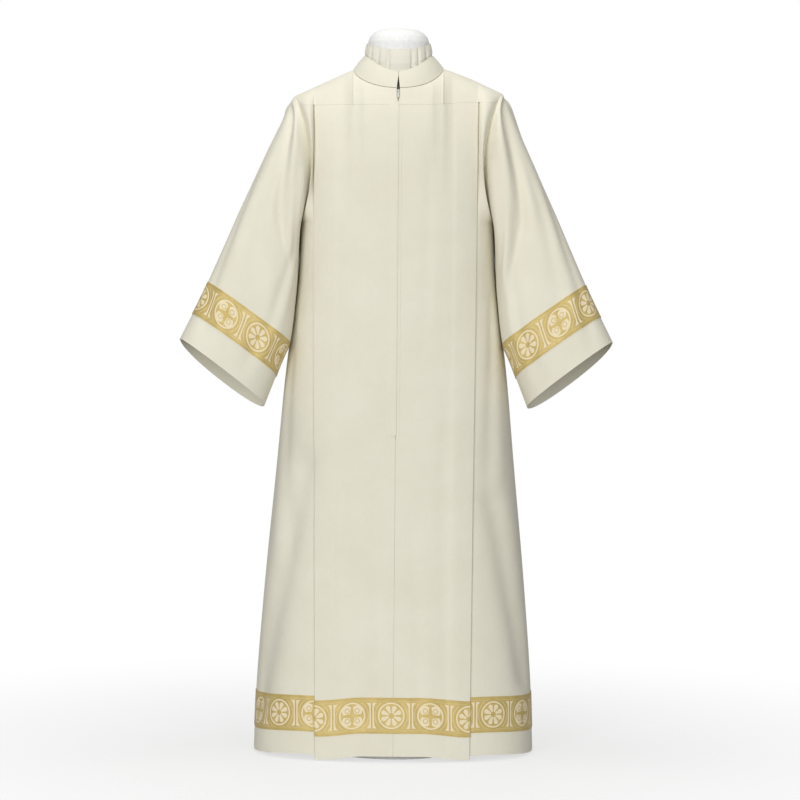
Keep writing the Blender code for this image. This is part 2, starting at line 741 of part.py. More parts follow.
def band(name, points, ways, collection):
    """A galloon band on cloth that runs through these points and faces these ways."""
    sheets = points + ways * (GAP + BAND_CLOTH), points + ways * GAP
    wall(name, *sheets, "gold_galloon", collection)


def make_zip(collection):
    """The lap over the zip, the tape behind it, and the slider with its bail."""
    across = (LAP_LEFT, LAP_LEFT / 2, LAP_RIGHT)
    near = strip(LAP_ENDS, across, STRIP_GAP)
    far = strip(LAP_ENDS, across, STRIP_GAP + LAP_CLOTH)
    wall("zip_lap", far, near, "cream_cloth", collection)
    across = (-TAPE_HALF_WIDTH, 0.0, TAPE_HALF_WIDTH)
    near = strip(TAPE_ENDS, across, -CLOTH - STRIP_GAP)
    far = strip(TAPE_ENDS, across, -CLOTH - STRIP_GAP - TAPE_CLOTH)
    wall("zip_tape", near, far, "zip_tape", collection)
    make_slider(collection)


def strip(ends, places, amount):
    """A strip along the middle of the front between two heights, moved out by an amount.

    Its rows are the panel's and the yoke's own, so that it keeps its gap to them.
    """
    yoke = rise_at(1, "front", 0.0, YOKE_Z)
    own = list(SKIRT_ROWS) + [chest_point(1, "front", 0.0, yoke * s)[2] for s in CHEST_ROWS]
    own += [chest_point(1, "front", 0.0, yoke + (1 - yoke) * s)[2] for s in YOKE_ROWS[1:]]
    margin = 0.004
    inside = [height for height in own if ends[0] + margin < height < ends[1] - margin]
    rows = [ends[0], *inside, ends[1]]
    grid = [[cloth_point(1, "front", abs(x) / pleat_x(1, z), z) for x in places] for z in rows]
    grid = np.array(grid)
    grid[:, :, 0] = places
    return lifted(grid, "front", amount)


def slider_frame():
    """The middle of the slider's front face and the lean of the cloth there."""
    low = cloth_point(1, "front", 0.0, SLIDER_Z - 0.004)
    high = cloth_point(1, "front", 0.0, SLIDER_Z + 0.004)
    lean = math.atan2(high[1] - low[1], high[2] - low[2])
    return (low + high) / 2, lean


def make_slider(collection):
    """The slider in the zip's mouth, its bail, and the pull that hangs from the bail.

    Both are made upright with the pull's hinge at the origin and -Y outwards, then leaned
    with the cloth and moved to their place.
    """
    middle, lean = slider_frame()
    width, depth, height = SLIDER_SIZE
    stand_off = PULL_THICKNESS / 2 + 2 * GAP
    bm = bmesh.new()
    bmesh.ops.create_cube(bm, size=1.0)
    bmesh.ops.scale(bm, vec=(width, depth, height), verts=bm.verts)
    bmesh.ops.bevel(bm, geom=bm.edges[:], offset=0.0006, segments=1, affect="EDGES")
    bmesh.ops.translate(bm, vec=(0.0, stand_off + depth / 2, 0.0), verts=bm.verts)
    body = solid_from(bm, "zip_slider", "zip_metal", collection, smooth=False)

    bail = bail_mesh(stand_off)
    cutter = bpy.data.objects.new("bail_for_slider", bail)
    helpers = bpy.data.collections.new("cutters")
    bpy.context.scene.collection.children.link(helpers)
    helpers.objects.link(cutter)
    cutter.hide_render = True
    cutter.display_type = "WIRE"
    union = body.modifiers.new("bail", "BOOLEAN")
    union.operation = "UNION"
    union.object = cutter

    pull = pull_piece(collection)
    out = stand_off + SLIDER_PROUD
    hinge = (0.0, middle[1] - out * math.cos(lean), middle[2] + out * math.sin(lean))
    for piece in (body, cutter, pull):
        piece.location = hinge
        piece.rotation_euler = (-lean, 0.0, 0.0)


def bail_mesh(stand_off):
    """A round-wire arch in the YZ plane about the hinge, with its feet in the slider."""
    curve = bpy.data.curves.new("bail", "CURVE")
    curve.dimensions = "3D"
    curve.bevel_depth = BAIL_WIRE
    curve.bevel_resolution = 1
    curve.use_fill_caps = True
    foot = stand_off + 0.0008
    turns = [math.radians(angle) for angle in range(-90, 91, 30)]
    arc = [(-BAIL_RADIUS * math.cos(turn), BAIL_RADIUS * math.sin(turn)) for turn in turns]
    route = [(foot, -BAIL_RADIUS)] + arc + [(foot, BAIL_RADIUS)]
    spline = curve.splines.new("POLY")
    spline.points.add(len(route) - 1)
    for point, (y, z) in zip(spline.points, route):
        point.co = (0.0, y, z, 1.0)
    guide = bpy.data.objects.new("bail_guide", curve)
    bpy.context.scene.collection.objects.link(guide)
    graph = bpy.context.evaluated_depsgraph_get()
    mesh = bpy.data.meshes.new_from_object(guide.evaluated_get(graph))
    bpy.data.objects.remove(guide, do_unlink=True)
    bm = bmesh.new()
    bm.from_mesh(mesh)
    bmesh.ops.remove_doubles(bm, verts=bm.verts, dist=0.00001)
    bmesh.ops.recalc_face_normals(bm, faces=bm.faces)
    bm.to_mesh(mesh)
    bm.free()
    return mesh


def pull_piece(collection):
    """The pull: a drop-shaped plate with a window for the bail, hinged on its top bar."""
    window_width, window_height = PULL_WINDOW
    half_frame = window_width / 2 + 0.0009
    foot = -PULL_LENGTH
    outline = [(-half_frame, PULL_BAR), (half_frame, PULL_BAR)]
    outline += [(half_frame, -window_height - 0.0012), (PULL_WIDTH / 2, foot + PULL_WIDTH * 0.8)]
    middle = foot + PULL_WIDTH / 2
    for angle in range(0, -181, -36):
        turn = math.radians(angle)
        outline.append((PULL_WIDTH / 2 * math.cos(turn), middle + PULL_WIDTH / 2 * math.sin(turn)))
    outline += [(-PULL_WIDTH / 2, foot + PULL_WIDTH * 0.8), (-half_frame, -window_height - 0.0012)]
    hole = [
        (-window_width / 2, -PULL_BAR),
        (window_width / 2, -PULL_BAR),
        (window_width / 2, -PULL_BAR - window_height),
        (-window_width / 2, -PULL_BAR - window_height),
    ]
    curve = bpy.data.curves.new("zip_pull", "CURVE")
    curve.dimensions = "2D"
    curve.fill_mode = "BOTH"
    curve.extrude = PULL_THICKNESS / 2
    for ring in (outline, hole):
        spline = curve.splines.new("POLY")
        spline.points.add(len(ring) - 1)
        spline.use_cyclic_u = True
        for point, (x, z) in zip(spline.points, ring):
            point.co = (x, z, 0.0, 1.0)
    guide = bpy.data.objects.new("pull_guide", curve)
    bpy.context.scene.collection.objects.link(guide)
    graph = bpy.context.evaluated_depsgraph_get()
    mesh = bpy.data.meshes.new_from_object(guide.evaluated_get(graph))
    bpy.data.objects.remove(guide, do_unlink=True)
    bm = bmesh.new()
    bm.from_mesh(mesh)
    bmesh.ops.remove_doubles(bm, verts=bm.verts, dist=0.00001)
    for vert in bm.verts:
        vert.co = (vert.co.x, vert.co.z, vert.co.y)
    return solid_from(bm, "zip_pull", "zip_metal", collection, smooth=False)


def ring_between(half_width, front, back, height, roundness, sides):
    """A level ring, rounder at a higher roundness, anticlockwise from the +X side."""
    points = []
    for step in range(sides):
        turn = 2 * math.pi * step / sides
        across, along = math.cos(turn), math.sin(turn)
        reach = back if along > 0 else front
        points.append(
            (
                half_width * math.copysign(abs(across) ** (2 / roundness), across),
                reach * math.copysign(abs(along) ** (2 / roundness), along),
                height,
            )
        )
    return points


def make_form(collection):
    """The form's torso with its neck, as one smooth body closed at both ends."""
    bm = bmesh.new()
    rings = []
    for row in FORM_RINGS:
        ring = dict(zip(FORM_COLUMNS, row))
        size = [ring[key] for key in ("half_width", "front", "back", "height", "roundness")]
        rings.append([bm.verts.new(point) for point in ring_between(*size, FORM_SIDES)])
    for low, high in zip(rings, rings[1:]):
        for j in range(FORM_SIDES):
            k = (j + 1) % FORM_SIDES
            bm.faces.new((low[j], low[k], high[k], high[j]))
    bm.faces.new(rings[0][::-1])
    bm.faces.new(rings[-1])
    solid_from(bm, "form_torso", "form_white", collection)


def between(front, side, back, along):
    """A value that is front, side and back at those places round the neck."""
    end = front if along > 0 else back
    return side + (end - side) * abs(along) ** 1.5


def make_neck_cover(collection):
    """The form's neck cover, gathered into the collar."""
    columns = []
    for row in GATHERS:
        gather = dict(zip(GATHER_COLUMNS, row))
        start, width = gather["angle"], gather["half_width"]
        columns += [(start - width, 0.0), (start, gather["depth"]), (start + width, 0.0)]
    outer, inner = [], []
    for share, fullness in zip(COVER_ROWS, COVER_FULLNESS):
        outer_row, inner_row = [], []
        for angle, depth in columns:
            turn = math.radians(angle)
            along = math.cos(turn)
            top, foot = between(*COVER_TOP, along), between(*COVER_FOOT, along)
            height = top + (foot - top) * share
            puff = fullness * (1 - depth)
            for reach, ring in ((puff + COVER_CLOTH, outer_row), (puff, inner_row)):
                across = (COVER_X - COVER_CLOTH + reach) * math.sin(turn)
                depth_y = -(COVER_Y - COVER_CLOTH + reach) * along
                ring.append((across, depth_y, height))
        outer.append(outer_row)
        inner.append(inner_row)
    sheets = np.array(outer), np.array(inner)
    wall("form_neck_cover", *sheets, "form_cover", collection, closed=True)


def turned(name, profile, finish, collection, steps=32):
    """A solid turned about Z from a profile that runs down its outer side."""
    mesh = bpy.data.meshes.new(name)
    edges = [(i, i + 1) for i in range(len(profile) - 1)]
    mesh.from_pydata([(radius, 0.0, height) for radius, height in profile], edges, [])
    piece = place(name, mesh, finish, collection)
    spin = piece.modifiers.new("turn", "SCREW")
    spin.steps = steps
    spin.render_steps = steps
    spin.use_merge_vertices = True
    spin.merge_threshold = 0.0001
    return piece


def make_stand(collection):
    """The round base plate with its socket, and the pole up to the torso."""
    top = BASE_THICKNESS + SOCKET_HEIGHT
    base = (
        (0.0, top),
        (SOCKET_RADIUS - 0.002, top),
        (SOCKET_RADIUS, top - 0.002),
        (SOCKET_RADIUS, BASE_THICKNESS),
        (BASE_RADIUS - 0.003, BASE_THICKNESS),
        (BASE_RADIUS, BASE_THICKNESS - 0.003),
        (BASE_RADIUS, 0.001),
        (BASE_RADIUS - 0.001, 0.0),
        (0.0, 0.0),
    )
    turned("stand_base", base, "stand_paint", collection, steps=48)
    low, high = top + GAP, FORM_RINGS[0][0] - GAP
    pole = ((0.0, high), (POLE_RADIUS, high), (POLE_RADIUS, low), (0.0, low))
    turned("stand_pole", pole, "stand_paint", collection, steps=20)


def main():
    collection = clear_scene()
    make_panels(collection)
    make_yokes(collection)
    make_sleeves(collection)
    make_collar(collection)
    make_zip(collection)
    make_form(collection)
    make_neck_cover(collection)
    make_stand(collection)


main()
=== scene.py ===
"""The looks of a clergy robe on its dress form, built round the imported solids.

Metres, +Z up. The front faces -Y, and the wearer's left side is at +X. Every surface is a
grid of points: rows run upwards and columns run across. A place across the body is given as
along: 0 at the middle, 1 at the pleat's fold and 2 at the side seam or the armhole.
"""

from __future__ import annotations

import json
import logging
import math
from collections.abc import Callable, Iterable
from dataclasses import dataclass, field
from enum import Enum
from typing import ClassVar

import bmesh
import bpy
import numpy as np
from mathutils import Euler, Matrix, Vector

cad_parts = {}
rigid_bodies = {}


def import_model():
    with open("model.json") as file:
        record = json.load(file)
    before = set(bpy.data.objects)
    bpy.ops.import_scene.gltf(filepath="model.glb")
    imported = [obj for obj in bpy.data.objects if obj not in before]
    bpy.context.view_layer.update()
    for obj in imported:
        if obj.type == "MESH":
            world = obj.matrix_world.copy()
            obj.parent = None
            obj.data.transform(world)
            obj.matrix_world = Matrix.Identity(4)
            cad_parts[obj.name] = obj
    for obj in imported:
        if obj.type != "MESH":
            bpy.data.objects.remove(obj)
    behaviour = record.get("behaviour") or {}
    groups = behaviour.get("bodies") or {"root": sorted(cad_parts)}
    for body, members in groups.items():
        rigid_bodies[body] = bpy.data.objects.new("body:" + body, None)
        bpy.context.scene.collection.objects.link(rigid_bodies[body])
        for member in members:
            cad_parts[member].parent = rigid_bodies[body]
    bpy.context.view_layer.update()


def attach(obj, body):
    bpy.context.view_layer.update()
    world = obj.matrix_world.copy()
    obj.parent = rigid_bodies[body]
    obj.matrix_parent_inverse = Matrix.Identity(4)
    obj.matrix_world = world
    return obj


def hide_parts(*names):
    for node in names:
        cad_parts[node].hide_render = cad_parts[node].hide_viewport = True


log = logging.getLogger("clergy_robe")
Array = np.ndarray

CLOTH = 0.0012
COLLAR_CLOTH = 0.0018
BAND_CLOTH = 0.0009
GAP = 0.0003
HEM_Z = 0.012
UNDERARM_Z = 1.130
YOKE_Z = 1.378
BAND_LOW_Z = 0.060
BAND_HIGH_Z = 0.135
SHOULDER_LIFT = 0.009


class Side(Enum):
    """The wearer's side; the value is its sign along X."""

    LEFT = 1
    RIGHT = -1

    @property
    def word(self) -> str:
        """The side's name as it stands in a piece's name."""
        return self.name.lower()

    @property
    def mirror(self) -> Array:
        """What turns points of the +X side into this side's."""
        return np.array([self.value, 1, 1])


class Face(Enum):
    """The front or the back; the value is the sign of its way out along Y."""

    FRONT = -1
    BACK = 1

    @property
    def word(self) -> str:
        """The face's name as it stands in a table or a piece's name."""
        return self.name.lower()


def hermite(start: Array, end: Array, leave: Array, arrive: Array, share: Array) -> Array:
    """A cubic between two ends with a given tangent at each.

    Args:
        start, end: the values at share 0 and 1.
        leave, arrive: the tangents there.
        share: how far along.

    Returns:
        The values on the cubic.
    """
    square, cube = share * share, share**3
    near = (2 * cube - 3 * square + 1) * start + (cube - 2 * square + share) * leave
    return near + (3 * square - 2 * cube) * end + (cube - square) * arrive


def unit(vectors: Array) -> Array:
    """Vectors of length one, along the last axis."""
    return vectors / np.maximum(np.linalg.norm(vectors, axis=-1, keepdims=True), 1e-12)


def smooth(low: float, high: float, value: Array) -> Array:
    """0 below low, 1 above high, and a soft S between them."""
    share = np.clip((value - low) / (high - low), 0.0, 1.0)
    return share * share * (3 - 2 * share)


def outward(grid: Array, closed: bool = False) -> Array:
    """Unit vectors square to a grid: the cross product of its columns' way and its rows'."""
    rows = np.gradient(grid, axis=0)
    if closed:
        across = np.roll(grid, -1, axis=1) - np.roll(grid, 1, axis=1)
    else:
        across = np.gradient(grid, axis=1)
    return unit(np.cross(across, rows))


def facing_out(ways: Array, grid: Array) -> Array:
    """The ways, all turned together where they would point towards each row's middle."""
    middle = grid.mean(axis=1, keepdims=True)
    return ways * np.sign(np.sum(ways * (grid - middle)))


def settle(points: Array) -> Array:
    """How the robe hangs unevenly: the cloth over the shoulder at +X lies a little higher."""
    x, height = points[..., 0], points[..., 2]
    lift = SHOULDER_LIFT * smooth(0.045, 0.170, x) * smooth(1.26, 1.40, height)
    return points + lift[..., None] * np.array([0.0, 0.0, 1.0])


@dataclass(frozen=True)
class Table:
    """Rows of sizes, read on a smooth cubic through them by the first column."""

    columns: tuple[str, ...]
    rows: tuple[tuple[float, ...], ...]

    def at(self, keys: Array) -> dict[str, Array]:
        """The other columns at these values of the first one.

        Args:
            keys: values of the first column.

        Returns:
            An array of the keys' shape for each other column.
        """
        rows = np.array(self.rows, float)
        known, values = rows[:, 0], rows[:, 1:]
        slopes = np.gradient(values, known, axis=0)
        keys = np.asarray(keys, float)
        low = np.clip(np.searchsorted(known, keys) - 1, 0, len(known) - 2)
        span = (known[low + 1] - known[low])[..., None]
        share = (keys - known[low])[..., None] / span
        ends = values[low], values[low + 1]
        found = hermite(*ends, slopes[low] * span, slopes[low + 1] * span, share)
        return {name: found[..., i] for i, name in enumerate(self.columns[1:])}


@dataclass(frozen=True)
class Crease:
    """A soft trough with a lower ridge beside it, from its top to its foot.

    Places are (across, up): along and height on the body, degrees and station on a sleeve.
    """

    top: tuple[float, float]
    foot: tuple[float, float]
    depth: float
    reach: float
    bow: float = 0.0
    ridge: float = 0.35
    fade: float = 0.14

    RIDGE_OFF: ClassVar[float] = 1.7

    def pull(self, across: Array, up: Array) -> Array:
        """How far the cloth is drawn in: a bell across the line, faded at both ends."""
        share = (self.top[1] - up) / (self.top[1] - self.foot[1])
        line = self.top[0] + (self.foot[0] - self.top[0]) * share
        line = line + self.bow * np.sin(np.pi * np.clip(share, 0, 1))
        ends = smooth(-self.fade, self.fade, share) * smooth(-self.fade, self.fade, 1 - share)
        off = (across - line) / self.reach
        bell = np.exp(-(off**2)) - self.ridge * np.exp(-((off - self.RIDGE_OFF) ** 2))
        return self.depth * ends * bell


class Pattern:
    """Builds closed shells from grids of points, and puts them into the scene."""

    @staticmethod
    def arc(grid: Array, axis: int) -> Array:
        """The length run along a grid's rows or columns, from 0 at its first point."""
        steps = np.linalg.norm(np.diff(grid, axis=axis), axis=-1)
        start = np.zeros_like(np.take(steps, [0], axis=axis))
        return np.concatenate([start, np.cumsum(steps, axis=axis)], axis=axis)

    @classmethod
    def place(cls, grid: Array, closed: bool = False) -> Array:
        """The cloth's own coordinates, in metres: across it and up it.

        Args:
            grid: the outer points.
            closed: whether the last column joins the first.

        Returns:
            One pair a point, with one more column on a closed grid.
        """
        if closed:
            grid = np.concatenate([grid, grid[:, :1]], axis=1)
        return np.stack([cls.arc(grid, 1), cls.arc(grid, 0)], axis=-1)

    @classmethod
    def shell(
        cls, name: str, outer: Array, inner: Array, place: Array, closed: bool = False
    ) -> bpy.types.Object:
        """A closed wall between two matching grids.

        Args:
            name: the piece's name.
            outer, inner: points, rows by columns by 3.
            place: the cloth's coordinates, which become the UV map.
            closed: whether the last column joins the first.

        Returns:
            The new object, at the origin.
        """
        rows, columns = outer.shape[:2]
        wide = columns if closed else columns - 1
        i, j = (a.ravel() for a in np.mgrid[0 : rows - 1, 0:wide])
        far = np.zeros_like(i)

        def quad(*corners: tuple[Array, Array, Array]) -> Array:
            """Faces from four corners, each given as layer, row and column."""
            return np.stack([np.stack(c, axis=-1) for c in corners], axis=1)

        near = far + 1
        faces = [
            quad((far, i, j), (far, i, j + 1), (far, i + 1, j + 1), (far, i + 1, j)),
            quad((near, i, j), (near, i + 1, j), (near, i + 1, j + 1), (near, i, j + 1)),
        ]
        edge = np.arange(wide)
        none, one = np.zeros_like(edge), np.ones_like(edge)
        for row, turn in ((0, 1), (rows - 1, -1)):
            r = none + row
            rim = quad((none, r, edge + 1), (none, r, edge), (one, r, edge), (one, r, edge + 1))
            faces.append(rim[:, ::turn])
        if not closed:
            edge = np.arange(rows - 1)
            none, one = np.zeros_like(edge), np.ones_like(edge)
            for column, turn in ((0, 1), (columns - 1, -1)):
                c = none + column
                rim = quad((none, edge, c), (none, edge + 1, c), (one, edge + 1, c), (one, edge, c))
                faces.append(rim[:, ::turn])
        every = np.concatenate(faces)
        if np.sum(outward(outer, closed) * (outer - inner)) < 0:
            every = every[:, ::-1]
        index = every[..., 0] * rows * columns + every[..., 1] * columns + every[..., 2] % columns
        points = settle(np.concatenate([outer.reshape(-1, 3), inner.reshape(-1, 3)]))
        mesh = bpy.data.meshes.new(name)
        mesh.from_pydata(points.tolist(), [], index.tolist())
        layer = mesh.uv_layers.new(name="cloth")
        layer.data.foreach_set("uv", place[every[..., 1], every[..., 2]].astype(np.float32).ravel())
        mesh.shade_smooth()
        mesh.set_sharp_from_angle(angle=math.radians(50))
        return cls.put(name, mesh)

    @staticmethod
    def put(name: str, mesh: bpy.types.Mesh) -> bpy.types.Object:
        """An object for a mesh, linked into the scene at the origin."""
        piece = bpy.data.objects.new(name, mesh)
        bpy.context.scene.collection.objects.link(piece)
        return piece


@dataclass(frozen=True)
class Bead:
    """A small shape that is repeated along a line: a stitch or a zip tooth."""

    length: float
    width: float
    height: float
    pitch: float
    waist: float = 0.55

    def template(self) -> Array:
        """Three rings of four points: narrow, full, narrow, along the line."""
        ring = np.array([(-0.5, 0.0), (0.0, -0.5), (0.5, 0.0), (0.0, 0.5)])
        rings = []
        for step, full in ((-0.5, self.waist), (0.0, 1.0), (0.5, self.waist)):
            side = ring[:, 0] * self.width * full
            lift = ring[:, 1] * self.height * full
            rings.append(np.stack([np.full(4, step * self.length), side, lift], axis=-1))
        return np.concatenate(rings)

    def run(self, name: str, lines: list[tuple[Array, Array]]) -> bpy.types.Object:
        """The shapes along lines of points.

        Args:
            name: the piece's name.
            lines: for each line its points and the way out of the cloth there.

        Returns:
            One object with all of them.
        """
        template = self.template()
        around = [(k, (k + 1) % 4) for k in range(4)]
        faces = [(0, 1, 2, 3), (11, 10, 9, 8)]
        faces += [(4 * r + a, 4 * (r + 1) + a, 4 * (r + 1) + b, 4 * r + b) for r in (0, 1) for a, b in around]
        points, indices, start = [], [], 0
        for line, ways in lines:
            run = Pattern.arc(line[None], 1)[0]
            spots = np.arange(self.pitch / 2, run[-1], self.pitch)
            middle = np.stack([np.interp(spots, run, line[:, k]) for k in range(3)], axis=-1)
            up = unit(np.stack([np.interp(spots, run, ways[:, k]) for k in range(3)], axis=-1))
            ahead = np.gradient(line, axis=0)
            ahead = np.stack([np.interp(spots, run, ahead[:, k]) for k in range(3)], axis=-1)
            ahead = unit(ahead - up * np.sum(ahead * up, axis=-1, keepdims=True))
            basis = np.stack([ahead, np.cross(up, ahead), up], axis=1)
            points.append((middle[:, None] + np.einsum("tk,nkc->ntc", template, basis)).reshape(-1, 3))
            shifts = start + len(template) * np.arange(len(spots))
            indices.append((np.array(faces)[None] + shifts[:, None, None]).reshape(-1, 4))
            start += len(template) * len(spots)
        mesh = bpy.data.meshes.new(name)
        mesh.from_pydata(np.concatenate(points).tolist(), [], np.concatenate(indices).tolist())
        mesh.shade_smooth()
        return Pattern.put(name, mesh)


STITCH = Bead(length=0.0022, width=0.0006, height=0.0004, pitch=0.0032)
TOOTH = Bead(length=0.0009, width=0.0026, height=0.0011, pitch=0.0015, waist=0.8)


def sew(
    name: str, lines: list[tuple[Array, Array]], finish: bpy.types.Material
) -> bpy.types.Object:
    """A row of stitches along each line, lying on the cloth.

    Args:
        name: the piece's name.
        lines: for each line its points and the way out of the cloth there.
        finish: the thread's material.

    Returns:
        One object with all of them.
    """
    piece = STITCH.run(name, lines)
    piece.data.materials.append(finish)
    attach(piece, "robe")
    return piece


class Value:
    """A shader socket in a Python expression: each operator adds one Math node."""

    def __init__(self, finish: NodeMaker, socket: bpy.types.NodeSocket) -> None:
        """Keep the socket and the maker of its tree's nodes."""
        self.finish, self.socket = finish, socket

    def math(self, operation: str, *others: Value | float) -> Value:
        """This value and others through one Math node."""
        return self.finish.math(operation, self, *others)

    def __add__(self, other: Value | float) -> Value:
        """The sum."""
        return self.math("ADD", other)

    __radd__ = __add__

    def __sub__(self, other: Value | float) -> Value:
        """The difference."""
        return self.math("SUBTRACT", other)

    def __rsub__(self, other: float) -> Value:
        """A number less this value."""
        return self.finish.math("SUBTRACT", other, self)

    def __mul__(self, other: Value | float) -> Value:
        """The product."""
        return self.math("MULTIPLY", other)

    __rmul__ = __mul__

    def __truediv__(self, other: Value | float) -> Value:
        """The quotient."""
        return self.math("DIVIDE", other)

    def __abs__(self) -> Value:
        """The value without its sign."""
        return self.math("ABSOLUTE")


class NodeMaker:
    """Adds nodes to one material's tree."""

    def __init__(self, name: str) -> None:
        """A new material with a Principled shader."""
        self.material = bpy.data.materials.new(name)
        self.material.use_nodes = True
        self.tree = self.material.node_tree
        self.shader = self.tree.nodes["Principled BSDF"]

    def node(
        self, kind: str, settings: dict | None = None, inputs: dict | None = None, out: int | str = 0
    ) -> Value:
        """One node.

        Args:
            kind: the node's type.
            settings: its properties, set first.
            inputs: a value or a link for each socket, by number or name.
            out: which output to give back.

        Returns:
            That output.
        """
        made = self.tree.nodes.new(kind)
        for key, value in (settings or {}).items():
            setattr(made, key, value)
        for key, value in (inputs or {}).items():
            self.set(made.inputs[key], value)
        return Value(self, made.outputs[out])

    def set(self, socket: bpy.types.NodeSocket, value: Value | float | tuple) -> None:
        """Link a value to a socket, or store a number or a colour in it."""
        if isinstance(value, Value):
            self.tree.links.new(value.socket, socket)
        elif isinstance(value, tuple) and len(socket.default_value) == 4:
            socket.default_value = (*value, 1.0)
        else:
            socket.default_value = value

    def math(self, operation: str, *values: Value | float) -> Value:
        """One Math node over these values."""
        return self.node("ShaderNodeMath", {"operation": operation}, dict(enumerate(values)))

    def step(self, low: float, high: float, value: Value) -> Value:
        """0 below low, 1 above high, and a soft S between."""
        inputs = {"Value": value, "From Min": low, "From Max": high}
        return self.node("ShaderNodeMapRange", {"interpolation_type": "SMOOTHSTEP"}, inputs)

    def band(self, value: Value, middle: Value | float, half: float, soft: float) -> Value:
        """1 where value is within half of middle, with soft edges."""
        return 1.0 - self.step(half - soft, half + soft, abs(value - middle))

    def either(self, *masks: Value) -> Value:
        """The largest of several masks."""
        found = masks[0]
        for mask in masks[1:]:
            found = found.math("MAXIMUM", mask)
        return found

    def mix(self, factor: Value | float, first: Value | tuple, second: Value | tuple) -> Value:
        """Two colours mixed by a factor."""
        made = self.tree.nodes.new("ShaderNodeMix")
        made.data_type = "RGBA"
        for socket, value in ((made.inputs[0], factor), (made.inputs[6], first), (made.inputs[7], second)):
            self.set(socket, value)
        return Value(self, made.outputs[2])

    def cloth(self) -> tuple[Value, Value]:
        """The cloth's own coordinates: across and up."""
        uv = self.node("ShaderNodeUVMap", {"uv_map": "cloth"})
        across = self.node("ShaderNodeSeparateXYZ", None, {0: uv})
        return across, Value(self, across.socket.node.outputs[1])

    def vector(self, x: Value | float, y: Value | float, z: Value | float = 0.0) -> Value:
        """A vector from three values."""
        return self.node("ShaderNodeCombineXYZ", None, {0: x, 1: y, 2: z})

    def noise(self, where: Value, scale: float, detail: float = 2.0, rough: float = 0.5) -> Value:
        """Noise from 0 to 1 at a place."""
        inputs = {"Vector": where, "Scale": scale, "Detail": detail, "Roughness": rough}
        return self.node("ShaderNodeTexNoise", None, inputs)

    def object_place(self) -> Value:
        """The place in the object's own coordinates."""
        return self.node("ShaderNodeTexCoord", out="Object")

    def bump(self, height: Value, distance: float, strength: float, before: Value | None = None) -> Value:
        """A normal bent by a height."""
        inputs = {"Height": height, "Distance": distance, "Strength": strength}
        if before:
            inputs["Normal"] = before
        return self.node("ShaderNodeBump", None, inputs)

    def finish(self, **sockets: Value | float | tuple) -> bpy.types.Material:
        """Set the Principled shader's sockets, named with _ for a space, and give the material."""
        for key, value in sockets.items():
            self.set(self.shader.inputs[key.replace("_", " ")], value)
        return self.material


@dataclass(frozen=True)
class ClothFinish:
    """Close plain weave with slubs, a faint mottle and small soft creases."""

    name: str
    colour: tuple[float, float, float] = (0.806, 0.780, 0.656)
    shade: tuple[float, float, float] = (0.752, 0.716, 0.584)
    thread: float = 0.0009
    roughness: float = 0.85
    sheen: float = 0.15
    creases: float = 0.0006
    slub: tuple[float, float] = (900.0, 45.0)
    weave_depth: float = 0.00022

    def make(self) -> bpy.types.Material:
        """The material: threads run along the cloth's own coordinates."""
        m = NodeMaker(self.name)
        across, up = m.cloth()
        place = m.object_place()
        turn = 2 * math.pi / self.thread
        warp, weft = (across * turn).math("SINE"), (up * turn).math("SINE")
        weave = warp * weft * 0.5 + 0.5
        fine, long = self.slub
        slub_up = m.noise(m.vector(across * fine, up * long), 1.0, 3.0, 0.6)
        slub_across = m.noise(m.vector(across * long, up * fine, 7.0), 1.0, 3.0, 0.6)
        slubs = (slub_up + slub_across) * 0.5
        mottle = m.noise(place, 7.0, 4.0, 0.6)
        tone = m.step(0.30, 0.72, mottle * 0.5 + slubs * 0.5)
        colour = m.mix(tone, self.shade, self.colour)
        folds = m.noise(place, 14.0, 3.0, 0.45)
        soft = m.bump(folds, self.creases * 12, 0.35)
        normal = m.bump(weave * 0.6 + slubs * 0.8, self.weave_depth, 0.55, soft)
        rough = self.roughness - 0.06 * weave
        return m.finish(
            Base_Color=colour,
            Roughness=rough,
            Normal=normal,
            Sheen_Weight=self.sheen,
            Sheen_Roughness=0.5,
            Specular_IOR_Level=0.25,
        )


